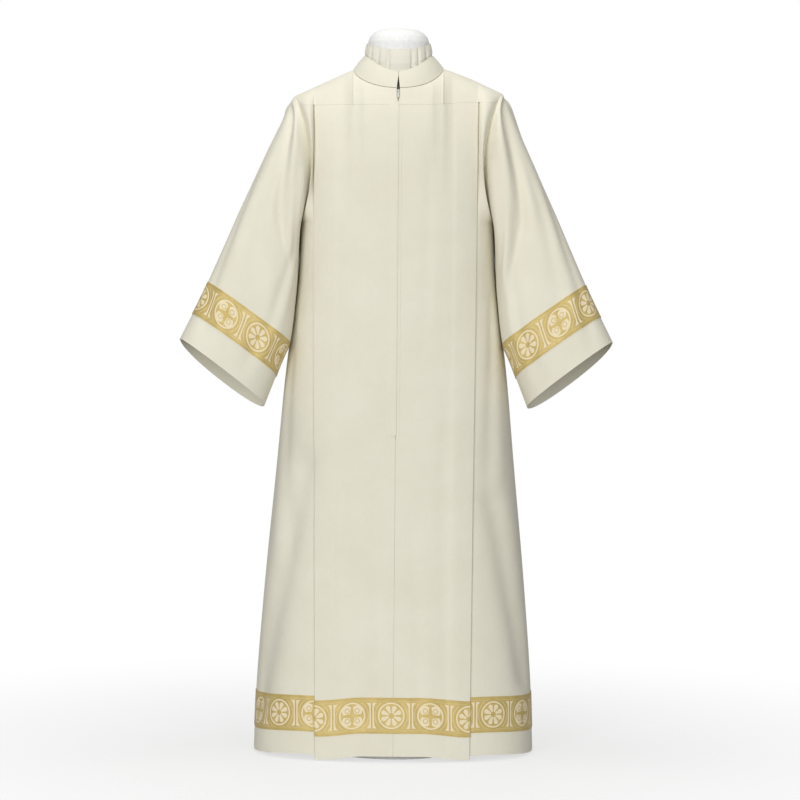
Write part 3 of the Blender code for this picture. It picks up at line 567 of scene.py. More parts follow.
@dataclass(frozen=True)
class GalloonFinish:
    """Woven galloon: gold ground with medallions that alternate, columns and plain borders.

    Each medallion stands in a cell as long as the repeat. Even cells hold a rosette of
    eight petals, odd ones a cross with a ringed quarter in each corner. Measures are metres
    from the medallion's middle. A pair is a line's place and half width, or, for the disc,
    petal, quarter, bar and column_end, where an edge starts to fade and where it has gone.
    """

    name: str
    repeat: float = 0.082
    gold: tuple[float, float, float] = (0.70, 0.54, 0.20)
    deep: tuple[float, float, float] = (0.50, 0.37, 0.11)
    pale: tuple[float, float, float] = (0.88, 0.76, 0.54)
    soft: float = 0.0005
    crisp: float = 0.0007
    rib: float = 0.0011
    disc: tuple[float, float] = (0.0255, 0.0265)
    dark_ring: tuple[float, float] = (0.0300, 0.0010)
    pale_ring: tuple[float, float] = (0.0262, 0.0016)
    spandrel: tuple[float, float] = (0.0338, 0.0006)
    rule: tuple[float, float] = (0.0302, 0.0005)
    petal_at: float = 0.0172
    petal: tuple[float, float] = (0.0044, 0.0053)
    stem: tuple[float, float] = (0.0116, 0.0060)
    stem_spread: float = 0.25
    quarter_at: float = 0.0106
    quarter: tuple[float, float] = (0.0104, 0.0112)
    eye: tuple[float, float] = (0.0046, 0.0009)
    arm_half: float = 0.0050
    arm_slope: float = 0.17
    bar: tuple[float, float] = (0.0013, 0.0021)
    column_half: float = 0.0042
    column_flare: float = 0.0050
    column_soft: float = 0.0009
    column_end: tuple[float, float] = (0.0262, 0.0272)

    def make(self) -> bpy.types.Material:
        """The material: masks from distances and angles within each cell."""
        m = NodeMaker(self.name)
        across, up = m.cloth()
        cells = across / self.repeat
        cell = (cells + 0.5).math("FLOOR")
        x = (cells - cell) * self.repeat
        y = up
        odd = (cell * 0.5 + 0.25).math("FRACT").math("GREATER_THAN", 0.5)
        radius = (x * x + y * y).math("SQRT")
        angle = y.math("ARCTAN2", x)
        disc = 1.0 - m.step(*self.disc, radius)
        outer = m.band(radius, *self.dark_ring, self.soft)
        pale_ring = m.band(radius, *self.pale_ring, self.soft)
        eighth = math.pi / 4
        bent = (angle / eighth).math("FRACT").math("SUBTRACT", 0.5) * eighth
        ahead, beside = radius * bent.math("COSINE"), radius * bent.math("SINE")
        head = ((ahead - self.petal_at) * (ahead - self.petal_at) + beside * beside).math("SQRT")
        leaf = 1.0 - m.step(*self.petal, head)
        stalk = 1.0 - m.step(0.0, self.crisp, abs(beside) - ahead * self.stem_spread)
        petals = m.either(leaf, stalk * m.band(ahead, *self.stem, self.soft))
        quarter_x, quarter_y = abs(x) - self.quarter_at, abs(y) - self.quarter_at
        quarter = (quarter_x * quarter_x + quarter_y * quarter_y).math("SQRT")
        upright_arm = m.step(0.0, self.crisp, abs(x) + abs(y) * self.arm_slope - self.arm_half)
        level_arm = m.step(0.0, self.crisp, abs(y) + abs(x) * self.arm_slope - self.arm_half)
        lobes = upright_arm * level_arm * (1.0 - m.step(*self.quarter, quarter))
        eyes = m.band(quarter, *self.eye, self.soft)
        lobes = lobes * (1.0 - 0.8 * eyes)
        inside = odd * lobes + (1.0 - odd) * petals
        edge = self.repeat / 2 - abs(x)
        flare = self.column_half + abs(y / self.disc[0]).math("POWER", 6.0) * self.column_flare
        between = 1.0 - m.step(*self.column_end, abs(y))
        spool = (1.0 - m.step(0.0, self.column_soft, edge - flare)) * between
        bar = 1.0 - m.step(*self.bar, edge)
        column = spool * (1.0 - bar)
        rule = m.band(abs(y), *self.rule, self.soft)
        spandrel = m.band(radius, *self.spandrel, self.soft) * between
        pale = m.either(pale_ring, inside * disc, column, rule * 0.35, spandrel * 0.6)
        pale = pale * (1.0 - outer)
        dark = m.either(outer * 0.7, eyes * odd * disc, bar * spool * 0.6)
        place = m.object_place()
        turn = 2 * math.pi / self.rib
        ribs = (up * turn + (across * turn).math("SINE") * 0.5).math("SINE") * 0.5 + 0.5
        threads = m.noise(m.vector(across * 1400.0, up * 260.0), 1.0, 2.0, 0.6)
        broad = m.noise(place, 40.0, 2.0, 0.5)
        ground = m.mix(m.step(0.3, 0.7, threads * 0.6 + broad * 0.4), self.deep, self.gold)
        ground = m.mix(dark * 0.6, ground, self.deep)
        figure = m.mix(m.step(0.25, 0.75, threads), self.gold, self.pale)
        figure = m.mix(0.72, figure, self.pale)
        colour = m.mix(pale, ground, figure)
        height = pale * 0.6 + ribs * 0.35 + threads * 0.5
        return m.finish(
            Base_Color=colour,
            Metallic=(1.0 - pale) * 0.18,
            Roughness=0.46 + pale * 0.28,
            Normal=m.bump(height, 0.0004, 0.7),
            Sheen_Weight=0.1,
        )


@dataclass(frozen=True)
class PlainFinish:
    """A smooth finish with a faint grain: thread, paint, jersey or zip metal."""

    name: str
    colour: tuple[float, float, float]
    roughness: float
    metallic: float = 0.0
    grain: float = 60.0
    depth: float = 0.0002

    def make(self) -> bpy.types.Material:
        """The material: noise varies the colour and the roughness a little."""
        m = NodeMaker(self.name)
        place = m.object_place()
        grain = m.noise(place, self.grain, 4.0, 0.6)
        worn = m.noise(place, self.grain * 0.15, 3.0, 0.5)
        darker = tuple(c * 0.88 for c in self.colour)
        colour = m.mix(m.step(0.3, 0.75, worn * 0.6 + grain * 0.4), darker, self.colour)
        return m.finish(
            Base_Color=colour,
            Metallic=self.metallic,
            Roughness=self.roughness - 0.08 + grain * 0.16,
            Normal=m.bump(grain, self.depth, 0.4),
        )


class Finishes:
    """Every finish of the robe, made once."""

    def __init__(self) -> None:
        """Make the materials."""
        self.cloth = ClothFinish("cream_cloth").make()
        self.cover = ClothFinish(
            "neck_cover_cloth", (0.82, 0.80, 0.70), (0.77, 0.74, 0.63), 0.0006, creases=0.0003
        ).make()
        self.galloon = GalloonFinish("gold_galloon").make()
        self.thread = PlainFinish("sewing_thread", (0.80, 0.77, 0.66), 0.7).make()
        self.gold_thread = PlainFinish("gold_thread", (0.62, 0.43, 0.16), 0.5, 0.2).make()
        self.tape = ClothFinish("zip_tape_cloth", (0.76, 0.72, 0.60), (0.70, 0.66, 0.53), 0.0005).make()
        self.metal = PlainFinish("zip_metal", (0.83, 0.82, 0.77), 0.30, 0.45, 900.0, 0.00003).make()
        self.teeth = PlainFinish("zip_teeth", (0.74, 0.70, 0.60), 0.4, 0.0, 500.0, 0.00003).make()
        self.form = PlainFinish("form_jersey", (0.90, 0.90, 0.88), 0.75, 0.0, 900.0).make()
        self.paint = PlainFinish("stand_paint", (0.80, 0.80, 0.78), 0.4).make()


@dataclass(frozen=True)
class RobeShape:
    """The robe's smooth surfaces, as functions of places on them."""

    neck_x: float = 0.096
    neck_front: float = 0.084
    neck_back: float = 0.070
    neck_drop: float = 0.0434
    neck_back_rise: float = 0.007
    neck_side_z: float = 1.457
    shoulder_x: float = 0.221
    shoulder_z: float = 1.399
    underarm_x: float = 0.205
    armhole_depth: float = 0.086
    armhole_inset: float = 0.027
    roundness: float = 2.6
    chest_rise: float = 0.29
    neck_lean: tuple[float, float] = (0.10, 0.20)
    shoulder_roll: tuple[float, float] = (0.24, 0.03)
    pleat_depth: float = 0.048
    recess_depth: float = 0.024
    recess_reach: float = 0.016

    BODY: ClassVar[Table] = Table(
        ("height", "half_width", "front", "back"),
        (
            (0.012, 0.2985, 0.186, 0.190),
            (0.135, 0.2940, 0.182, 0.186),
            (0.340, 0.2790, 0.173, 0.176),
            (0.600, 0.2545, 0.160, 0.163),
            (0.855, 0.2300, 0.147, 0.148),
            (0.913, 0.2225, 0.1435, 0.144),
            (1.000, 0.2122, 0.138, 0.136),
            (1.130, 0.2050, 0.128, 0.124),
        ),
    )
    FOLDS: ClassVar[Table] = Table(
        ("height", "left", "right"),
        ((0.012, 0.161, 0.164), (1.130, 0.169, 0.177), (1.378, 0.171, 0.179)),
    )
    CREASES: ClassVar[dict[tuple[Side, Face], tuple[Crease, ...]]] = {
        (Side.RIGHT, Face.FRONT): (
            Crease((1.12, 0.640), (1.75, 0.100), 0.0100, 0.20, ridge=0.10, fade=0.06),
            Crease((1.62, 0.900), (1.34, 0.420), 0.0035, 0.13, 0.05),
            Crease((0.42, 1.300), (0.50, 0.820), 0.0012, 0.07),
            Crease((0.64, 0.640), (0.56, 0.080), 0.0016, 0.09, 0.04),
            Crease((0.28, 0.560), (0.22, 0.100), 0.0012, 0.08, -0.03),
        ),
        (Side.LEFT, Face.FRONT): (
            Crease((1.25, 0.560), (1.70, 0.150), 0.0090, 0.18, ridge=0.10, fade=0.06),
            Crease((1.45, 0.960), (1.20, 0.560), 0.0035, 0.12, -0.04),
            Crease((0.40, 1.280), (0.36, 0.880), 0.0012, 0.07),
            Crease((0.62, 0.760), (0.70, 0.060), 0.0016, 0.09, -0.04),
            Crease((0.22, 0.480), (0.30, 0.060), 0.0012, 0.08, 0.03),
        ),
        (Side.RIGHT, Face.BACK): (
            Crease((1.20, 0.700), (1.62, 0.160), 0.0080, 0.20, ridge=0.10, fade=0.06),
            Crease((1.50, 1.000), (1.30, 0.560), 0.0035, 0.13, 0.04),
            Crease((0.50, 1.240), (0.58, 0.700), 0.0020, 0.09),
            Crease((0.38, 0.620), (0.30, 0.080), 0.0018, 0.09, 0.04),
        ),
        (Side.LEFT, Face.BACK): (
            Crease((1.15, 0.600), (1.55, 0.080), 0.0090, 0.20, ridge=0.10, fade=0.06),
            Crease((1.55, 0.940), (1.32, 0.500), 0.0032, 0.13, -0.04),
            Crease((0.46, 1.200), (0.38, 0.760), 0.0018, 0.09),
            Crease((0.66, 0.700), (0.60, 0.060), 0.0018, 0.10, -0.03),
        ),
    }

    def fold(self, side: Side, height: Array) -> Array:
        """How far from the middle the pleat's outer fold lies."""
        return self.FOLDS.at(np.minimum(height, YOKE_Z))[side.word]

    def yoke_fold(self, side: Side) -> float:
        """How far from the middle the fold lies at the yoke's seam."""
        return float(self.fold(side, np.array(YOKE_Z)))

    def neckline(self, face: Face, angle: Array) -> Array:
        """The collar seam, by the angle from the middle of the front or the back."""
        reach, along = np.sin(angle), np.maximum(np.cos(angle), 0.0)
        if face is Face.FRONT:
            drop = self.neck_side_z - self.neck_drop * along**1.1
            return np.stack([self.neck_x * reach, -self.neck_front * along, drop], axis=-1)
        rise = self.neck_side_z + self.neck_back_rise * along
        return np.stack([self.neck_x * reach, self.neck_back * along, rise], axis=-1)

    def armhole(self, face: Face, angle: Array) -> Array:
        """The armhole at +X: angle 0 is the shoulder point, pi the underarm."""
        low, upright = np.sin(angle), np.cos(angle)
        x = (self.shoulder_x + self.underarm_x) / 2 + (self.shoulder_x - self.underarm_x) / 2 * upright
        z = (self.shoulder_z + UNDERARM_Z) / 2 + (self.shoulder_z - UNDERARM_Z) / 2 * upright
        x = x - self.armhole_inset * low**2
        return np.stack([x, face.value * self.armhole_depth * low, z], axis=-1)

    def top_edge(self, face: Face, across: Array) -> Array:
        """The neckline, then the shoulder seam, at a distance from the middle."""
        angle = np.arcsin(np.clip(across / self.neck_x, 0, 1))
        share = (across - self.neck_x) / (self.shoulder_x - self.neck_x)
        height = self.neck_side_z + (self.shoulder_z - self.neck_side_z) * share
        seam = np.stack([across, np.full_like(across, face.value * GAP / 2), height], axis=-1)
        return np.where((across <= self.neck_x)[..., None], self.neckline(face, angle), seam)

    def pull(self, side: Side, face: Face, along: Array, height: Array) -> Array:
        """How far the creases draw the cloth in; nothing at the side seam and the armhole."""
        total = sum(c.pull(along, height) for c in self.CREASES[side, face])
        return total * np.clip((2 - along) / 0.25, 0, 1)

    def seam_way(self, face: Face, seam: Array) -> Array:
        """The shared way out at the side seam and the armhole, halfway between its pieces."""
        middle = (self.shoulder_z + UNDERARM_Z) / 2
        upright = np.clip((seam[:, 2] - middle) / (self.shoulder_z - middle), -1, 1)
        level = np.sqrt(1 - upright**2) * (seam[:, 2] > UNDERARM_Z)
        side = np.sign(seam[:, 0]) * (np.abs(upright) + 0.55 * level)
        rise = np.where(seam[:, 2] > UNDERARM_Z, upright, 0.0)
        return unit(np.stack([side, face.value * level, rise], axis=-1))

    def recess(self, face: Face, seam: Array, grid: Array) -> Array:
        """How the cloth beside the armhole sinks into the seam.

        Args:
            face: the front or the back.
            seam: each row's point on the armhole.
            grid: the points to move.

        Returns:
            A move for each point, deepest on the seam and gone 40 mm from it.
        """
        share = np.clip((seam[..., 2] - UNDERARM_Z) / (self.shoulder_z - UNDERARM_Z), 0, 1)
        depth = self.recess_depth * np.sin(np.pi * share**0.8) ** 0.7 * (seam[..., 2] > UNDERARM_Z)
        near = np.exp(-((np.linalg.norm(grid - seam, axis=-1) / self.recess_reach) ** 1.5))
        return (depth * near)[..., None] * np.array([-0.10, -face.value, 0.0])

    def skirt(self, side: Side, face: Face, along: Array, height: Array) -> Array:
        """The cloth below the underarm, for the +X side.

        Each level is a rounded box: x/width and y/depth, each to the power of roundness,
        sum to 1. Up to the fold x grows evenly, and beyond it the turn does.
        """
        along, height = np.broadcast_arrays(along, height)
        section = self.BODY.at(height)
        width, depth = section["half_width"], section[face.word]
        fold, power = self.fold(side, height), self.roundness
        flat = np.minimum(along, 1) * fold
        flat_out = depth * (1 - (flat / width) ** power) ** (1 / power)
        start = np.arcsin((fold / width) ** (power / 2))
        turn = start + np.clip(along - 1, 0, 1) * (np.pi / 2 - start)
        across = np.where(along > 1, width * np.sin(turn) ** (2 / power), flat)
        round_out = depth * np.maximum(np.cos(turn), 0) ** (2 / power)
        out = np.where(along > 1, round_out, flat_out)
        return np.stack([across, face.value * np.maximum(out, GAP / 2), height], axis=-1)

    def chest(self, side: Side, face: Face, along: Array, rise: Array) -> Array:
        """The cloth above the underarm: a cubic up to the top edge, drawn to the armhole."""
        along, rise = np.broadcast_arrays(along, rise)
        fold = self.yoke_fold(side)
        edge = np.clip(along - 1, 0, 1)
        across = np.where(along <= 1, along * fold, fold + edge * (self.shoulder_x - fold))
        start, end = self.skirt(side, face, along, UNDERARM_Z), self.top_edge(face, across)
        spread = (-0.018, -0.012, -0.006, 0.0, 0.006, 0.012, 0.018)
        even = sum(self.top_edge(face, np.abs(across + step))[..., 1:] for step in spread) / len(spread)
        end[..., 1:] = even + (end[..., 1:] - even) * rise[..., None] ** 24
        step = 0.01
        leave = (start - self.skirt(side, face, along, UNDERARM_Z - step)) / step * self.chest_rise
        roll = np.minimum(across / self.neck_x, 1) ** 2
        lean = [a + (b - a) * roll for a, b in zip(self.neck_lean, self.shoulder_roll)]
        arrive = np.stack([0 * roll, -face.value * lean[0] * (1 - edge), lean[1]], axis=-1)
        share = rise[..., None]
        found = hermite(start, end, leave, arrive, share)
        last = self.skirt(side, face, np.array(2.0), np.array([UNDERARM_Z, UNDERARM_Z - step]))
        last_leave = (last[0] - last[1]) / step * self.chest_rise
        tip = np.array([self.shoulder_x, 0.0, self.shoulder_z])
        straight = hermite(last[0], tip, last_leave, np.array([0, 0, self.shoulder_roll[1]]), share)
        drawn = 1 - (1 - edge[..., None]) ** 1.6
        return found + drawn * (self.armhole(face, np.pi * (1 - rise)) - straight)

    def rise_at(self, side: Side, face: Face, along: Array, height: float | Array) -> Array:
        """The rise at which the chest reaches a height, found by halving."""
        low, high = np.zeros_like(along), np.ones_like(along)
        for _ in range(30):
            middle = (low + high) / 2
            below = self.chest(side, face, along, middle)[..., 2] < height
            low, high = np.where(below, middle, low), np.where(below, high, middle)
        return low

    def sheet(self, side: Side, face: Face, along: Array, heights: Array, shares: Array) -> Array:
        """The cloth from the hem to the yoke: rows at these heights, then at these shares."""
        skirt = self.skirt(side, face, along[None], heights[:, None])
        yoke = self.rise_at(side, face, along, YOKE_Z - GAP / 2)
        return np.concatenate([skirt, self.chest(side, face, along[None], yoke * shares[:, None])])

    def ways(self, face: Face, grid: Array, near: Array, far: Array) -> Array:
        """The way out of a sheet, from the same sheet a little nearer and further across."""
        return -face.value * unit(np.cross(far - near, np.gradient(grid, axis=0)))


@dataclass
class Panels:
    """The two fronts and the back, each half with one long pleat."""

    shape: RobeShape
    finishes: Finishes
    turn: float = 0.0016
    under: float = 0.0032
    behind: float = 0.0038
    zip_half_gap: float = 0.0005
    mouth: float = 0.0034
    closed_z: float = 1.386
    mouth_z: float = 1.398
    zip_end_z: float = 0.678
    seam_from: float = 0.2
    fold_sag: ClassVar[dict[Side, float]] = {Side.RIGHT: 0.0095, Side.LEFT: 0.0085}
    halves: dict[tuple[Side, Face], tuple[Array, Array]] = field(default_factory=dict)

    def heights(self) -> Array:
        """Levels of the skirt's rows, with rows on the galloon's edges."""
        stretches = ((HEM_Z, BAND_LOW_Z, 9), (BAND_LOW_Z, BAND_HIGH_Z, 15), (BAND_HIGH_Z, UNDERARM_Z, 120))
        rows = [np.linspace(low, high, count, endpoint=False) for low, high, count in stretches]
        return np.concatenate([*rows, [UNDERARM_Z]])

    def centre_gap(self, height: Array) -> Array:
        """Half the opening between the fronts: shut below the zip, a little open at its top."""
        open_share = np.clip((height - self.closed_z) / (self.mouth_z - self.closed_z), 0, 1)
        gap = self.zip_half_gap + (self.mouth - self.zip_half_gap) * open_share
        return np.where(height < self.zip_end_z, GAP / 2, gap)

    def route(self, side: Side) -> tuple[Array, Array]:
        """The columns of a half: where each is across, and how deep it lies in the pleat.

        The outer layer runs to the fold, turns on a half circle, runs back under by the
        pleat's depth, turns again and runs out to the side.
        """
        fold = self.shape.yoke_fold(side)
        deep, turn = self.shape.pleat_depth, self.turn
        second = (self.behind - self.under) / 2
        bend = np.linspace(np.pi / 2, -np.pi / 2, 9)
        clear_of_pleat = np.linspace(0, fold - deep - 0.008, 34)
        over_pleat = np.linspace(fold - deep - 0.004, fold - turn - 0.001, 16)
        flat = np.concatenate([clear_of_pleat, over_pleat])
        back = np.linspace(fold - turn - 0.002, fold - deep + second + 0.002, 8)
        out = np.linspace(fold - deep + second + 0.002, fold, 8)
        across = [flat, fold - turn + turn * np.cos(bend), back]
        across += [fold - deep + second - second * np.cos(bend), out]
        depth = [0 * flat, turn - turn * np.sin(bend), 0 * back + self.under]
        depth += [self.under + second - second * np.sin(bend), 0 * out + self.behind]
        side_places = 1 + np.linspace(0, 1, 44)[1:] ** 0.9
        along = np.concatenate([np.concatenate(across) / fold, side_places])
        beyond = side_places - 1
        depth.append(self.behind * (1 - beyond**0.5 * 0.6) * (1 - beyond**2))
        return along, np.concatenate(depth)

    def pressed(self, side: Side, along: Array, layer: Array, height: Array) -> Array:
        """How far the outer layer stands out over the pleat's hidden layers."""
        fold = self.shape.yoke_fold(side)
        inner = 1 - self.shape.pleat_depth / fold
        over = smooth(inner - 0.035, inner + 0.02, along) * (layer < 1e-6)
        return 0.0011 * over * smooth(YOKE_Z, YOKE_Z - 0.10, height)

    def sag(self, side: Side, along: Array, layer: Array, height: Array) -> Array:
        """How far the pleat's outer fold hangs below the rest, most at the hem."""
        low = 1 - smooth(HEM_Z, 0.75, height)
        share = smooth(0.35, 1.0, along) * (1 - smooth(0, self.under, layer))
        return self.fold_sag[side] * share * low

    def half(self, side: Side, face: Face) -> tuple[Array, Array]:
        """Outer points of half a panel and the way out of the smooth cloth under them."""
        along, layer = self.route(side)
        heights, shares = self.heights(), np.linspace(0, 1, 31)[1:]
        grid = self.shape.sheet(side, face, along, heights, shares)
        step = 0.004
        near = self.shape.sheet(side, face, np.maximum(along - step, 0), heights, shares)
        far = self.shape.sheet(side, face, np.minimum(along + step, 2), heights, shares)
        ways = self.shape.ways(face, grid, near, far)
        height = grid[..., 2]
        beyond = np.clip(along[None] - 1, 0, 1)
        near_yoke = smooth(0.95, 1.20, height)
        flat = np.exp(-beyond * 26) * (1 - smooth(0.5, 1.0, beyond))
        layers = np.where(beyond > 0, layer * (1 - near_yoke * (1 - flat)), layer)
        drawn = self.shape.pull(side, face, along[None], height) + layers
        drawn = drawn - self.pressed(side, along[None], layer[None], height)
        grid = grid - ways * drawn[..., None]
        grid = grid + self.shape.recess(face, grid[:, -1:], grid)
        grid[..., 2] -= self.sag(side, along[None], layer[None], height)
        grid[..., 1] = face.value * np.maximum(face.value * grid[..., 1], GAP / 2)
        if face is Face.FRONT:
            grid = open_middle(grid, self.centre_gap)
        return grid, ways

    def build(self) -> list[bpy.types.Object]:
        """Make the fronts and the back."""
        for side in Side:
            for face in Face:
                grid, ways = self.half(side, face)
                self.halves[side, face] = grid * side.mirror, ways
        made = []
        for side in Side:
            outer, _ = self.halves[side, Face.FRONT]
            made.append(self.panel(f"{side.word}_front_cloth", outer, Face.FRONT, f"front_{side.word}"))
        left, right = (self.halves[side, Face.BACK][0] for side in Side)
        outer = np.concatenate([right[:, ::-1], left[:, 1:]], axis=1)
        made.append(self.panel("back_cloth", outer, Face.BACK, "back"))
        return made

    def panel(self, name: str, outer: Array, face: Face, node: str) -> bpy.types.Object:
        """One panel as a shell; its inner side lies behind it by the cloth's thickness."""
        ways = outward(outer)
        if np.sum(ways[..., 1]) * face.value < 0:
            ways = -ways
        for column in (0, -1):
            if np.abs(outer[0, column, 0]) > self.seam_from:
                ways[:, column] = self.shape.seam_way(face, outer[:, column])
        piece = Pattern.shell(name, outer, outer - ways * CLOTH, Pattern.place(outer))
        return dress(piece, self.finishes.cloth, node)


@dataclass
class HemBands:
    """The galloon round the skirt: in front, behind, and one stretch at each side."""

    panels: Panels
    finishes: Finishes
    rows: tuple[int, int] = (9, 25)
    fold_end: int = 53
    side_start: int = 83
    seams: list[tuple[Array, Array]] = field(default_factory=list)
    anchors: ClassVar[dict[str, float]] = {"front": -0.004, "back": -0.004, "left": 0.210, "right": 0.240}

    def build(self) -> list[bpy.types.Object]:
        """Make the four stretches."""
        rows, made = slice(*self.rows), []
        self.seams.clear()
        found = {}
        for (side, face), (outer, _) in self.panels.halves.items():
            ways = self.outward_at(outer, face)
            found[side, face] = outer[rows], ways[rows]
        for face in Face:
            sheets = []
            for k in (0, 1):
                right, left = (found[side, face][k][:, : self.fold_end] for side in (Side.RIGHT, Side.LEFT))
                skip = 0 if face is Face.FRONT else 1
                sheets.append(np.concatenate([right[:, ::-1], left[:, skip:]], axis=1))
            made.append(self.band(f"hem_galloon_{face.word}", *sheets, face.word))
        for side in Side:
            sheets = []
            for k in (0, 1):
                front, back = (found[side, face][k][:, self.side_start :] for face in Face)
                sheets.append(np.concatenate([front, back[:, -2::-1]], axis=1))
            made.append(self.band(f"hem_galloon_{side.word}", *sheets, side.word))
        made.append(sew("hem_galloon_stitches", self.seams, self.finishes.gold_thread))
        return made

    @staticmethod
    def outward_at(outer: Array, face: Face) -> Array:
        """The ways square to a half's cloth, pointing out where it is the outer layer."""
        ways = outward(outer)
        return ways * np.sign(np.sum(ways[..., 1]) * face.value)

    def band(self, name: str, points: Array, ways: Array, word: str) -> bpy.types.Object:
        """One stretch, its pattern counted from a rosette at the anchor's X."""
        place = Pattern.place(points)
        middle = points.shape[0] // 2
        x = np.abs(points[middle, :, 0]) if word in ("left", "right") else points[middle, :, 0]
        half = points.shape[1] if word in ("front", "back") else points.shape[1] // 2
        order = np.argsort(x[:half])
        start = np.interp(self.anchors[word], x[:half][order], place[middle, :half, 0][order])
        place[..., 0] -= start
        place[..., 1] -= place[-1:, :, 1] / 2
        outer = points + ways * (GAP + BAND_CLOTH)
        self.seams += edge_lines(outer, ways)
        piece = Pattern.shell(name, outer, points + ways * GAP, place)
        return dress(piece, self.finishes.galloon, f"hem_band_{word}")


@dataclass
class Yokes:
    """The yokes over the shoulders, from the panels' top edge to the collar."""

    shape: RobeShape
    finishes: Finishes
    seam_from: float = 0.15

    def half(self, side: Side, face: Face) -> Array:
        """Outer points of half a yoke, from its middle to the armhole."""
        shape = self.shape
        fold = shape.yoke_fold(side)
        neck = shape.neck_x * np.sin(np.linspace(0, np.pi / 2, 34)) / fold
        alongs = np.concatenate([neck, np.linspace(neck[-1], 1, 22)[1:], np.linspace(1, 2, 26)[1:]])
        start = shape.rise_at(side, face, alongs, YOKE_Z + GAP / 2)
        shares = np.linspace(0, 1, 30)[:, None]
        grid = shape.chest(side, face, alongs[None], start + (1 - start) * shares)
        return grid + shape.recess(face, grid[:, -1:], grid)

    def build(self, centre_gap: Callable[[Array], Array]) -> list[bpy.types.Object]:
        """Make the two front yokes and the back one.

        Args:
            centre_gap: gives half the opening between the fronts at each height.
        """
        made = []
        for side in Side:
            outer = open_middle(self.half(side, Face.FRONT), centre_gap) * side.mirror
            made.append(self.yoke(f"{side.word}_front_yoke_cloth", outer, f"front_yoke_{side.word}"))
        left, right = (self.half(side, Face.BACK) * side.mirror for side in Side)
        outer = np.concatenate([right[:, ::-1], left[:, 1:]], axis=1)
        made.append(self.yoke("back_yoke_cloth", outer, "back_yoke"))
        return made

    def yoke(self, name: str, outer: Array, node: str) -> bpy.types.Object:
        """One yoke as a shell."""
        ways = outward(outer)
        ways = ways * np.sign(np.sum(ways[..., 2]))
        face = Face.BACK if node == "back_yoke" else Face.FRONT
        shoulder = np.abs(outer[-1, :, 0]) > self.shape.neck_x
        ways[-1, shoulder] = np.array([0.0, 0.0, 1.0])
        for column in (0, -1):
            if np.abs(outer[0, column, 0]) > self.seam_from:
                ways[:, column] = self.shape.seam_way(face, outer[:, column])
        piece = Pattern.shell(name, outer, outer - ways * CLOTH, Pattern.place(outer))
        return dress(piece, self.finishes.cloth, node)


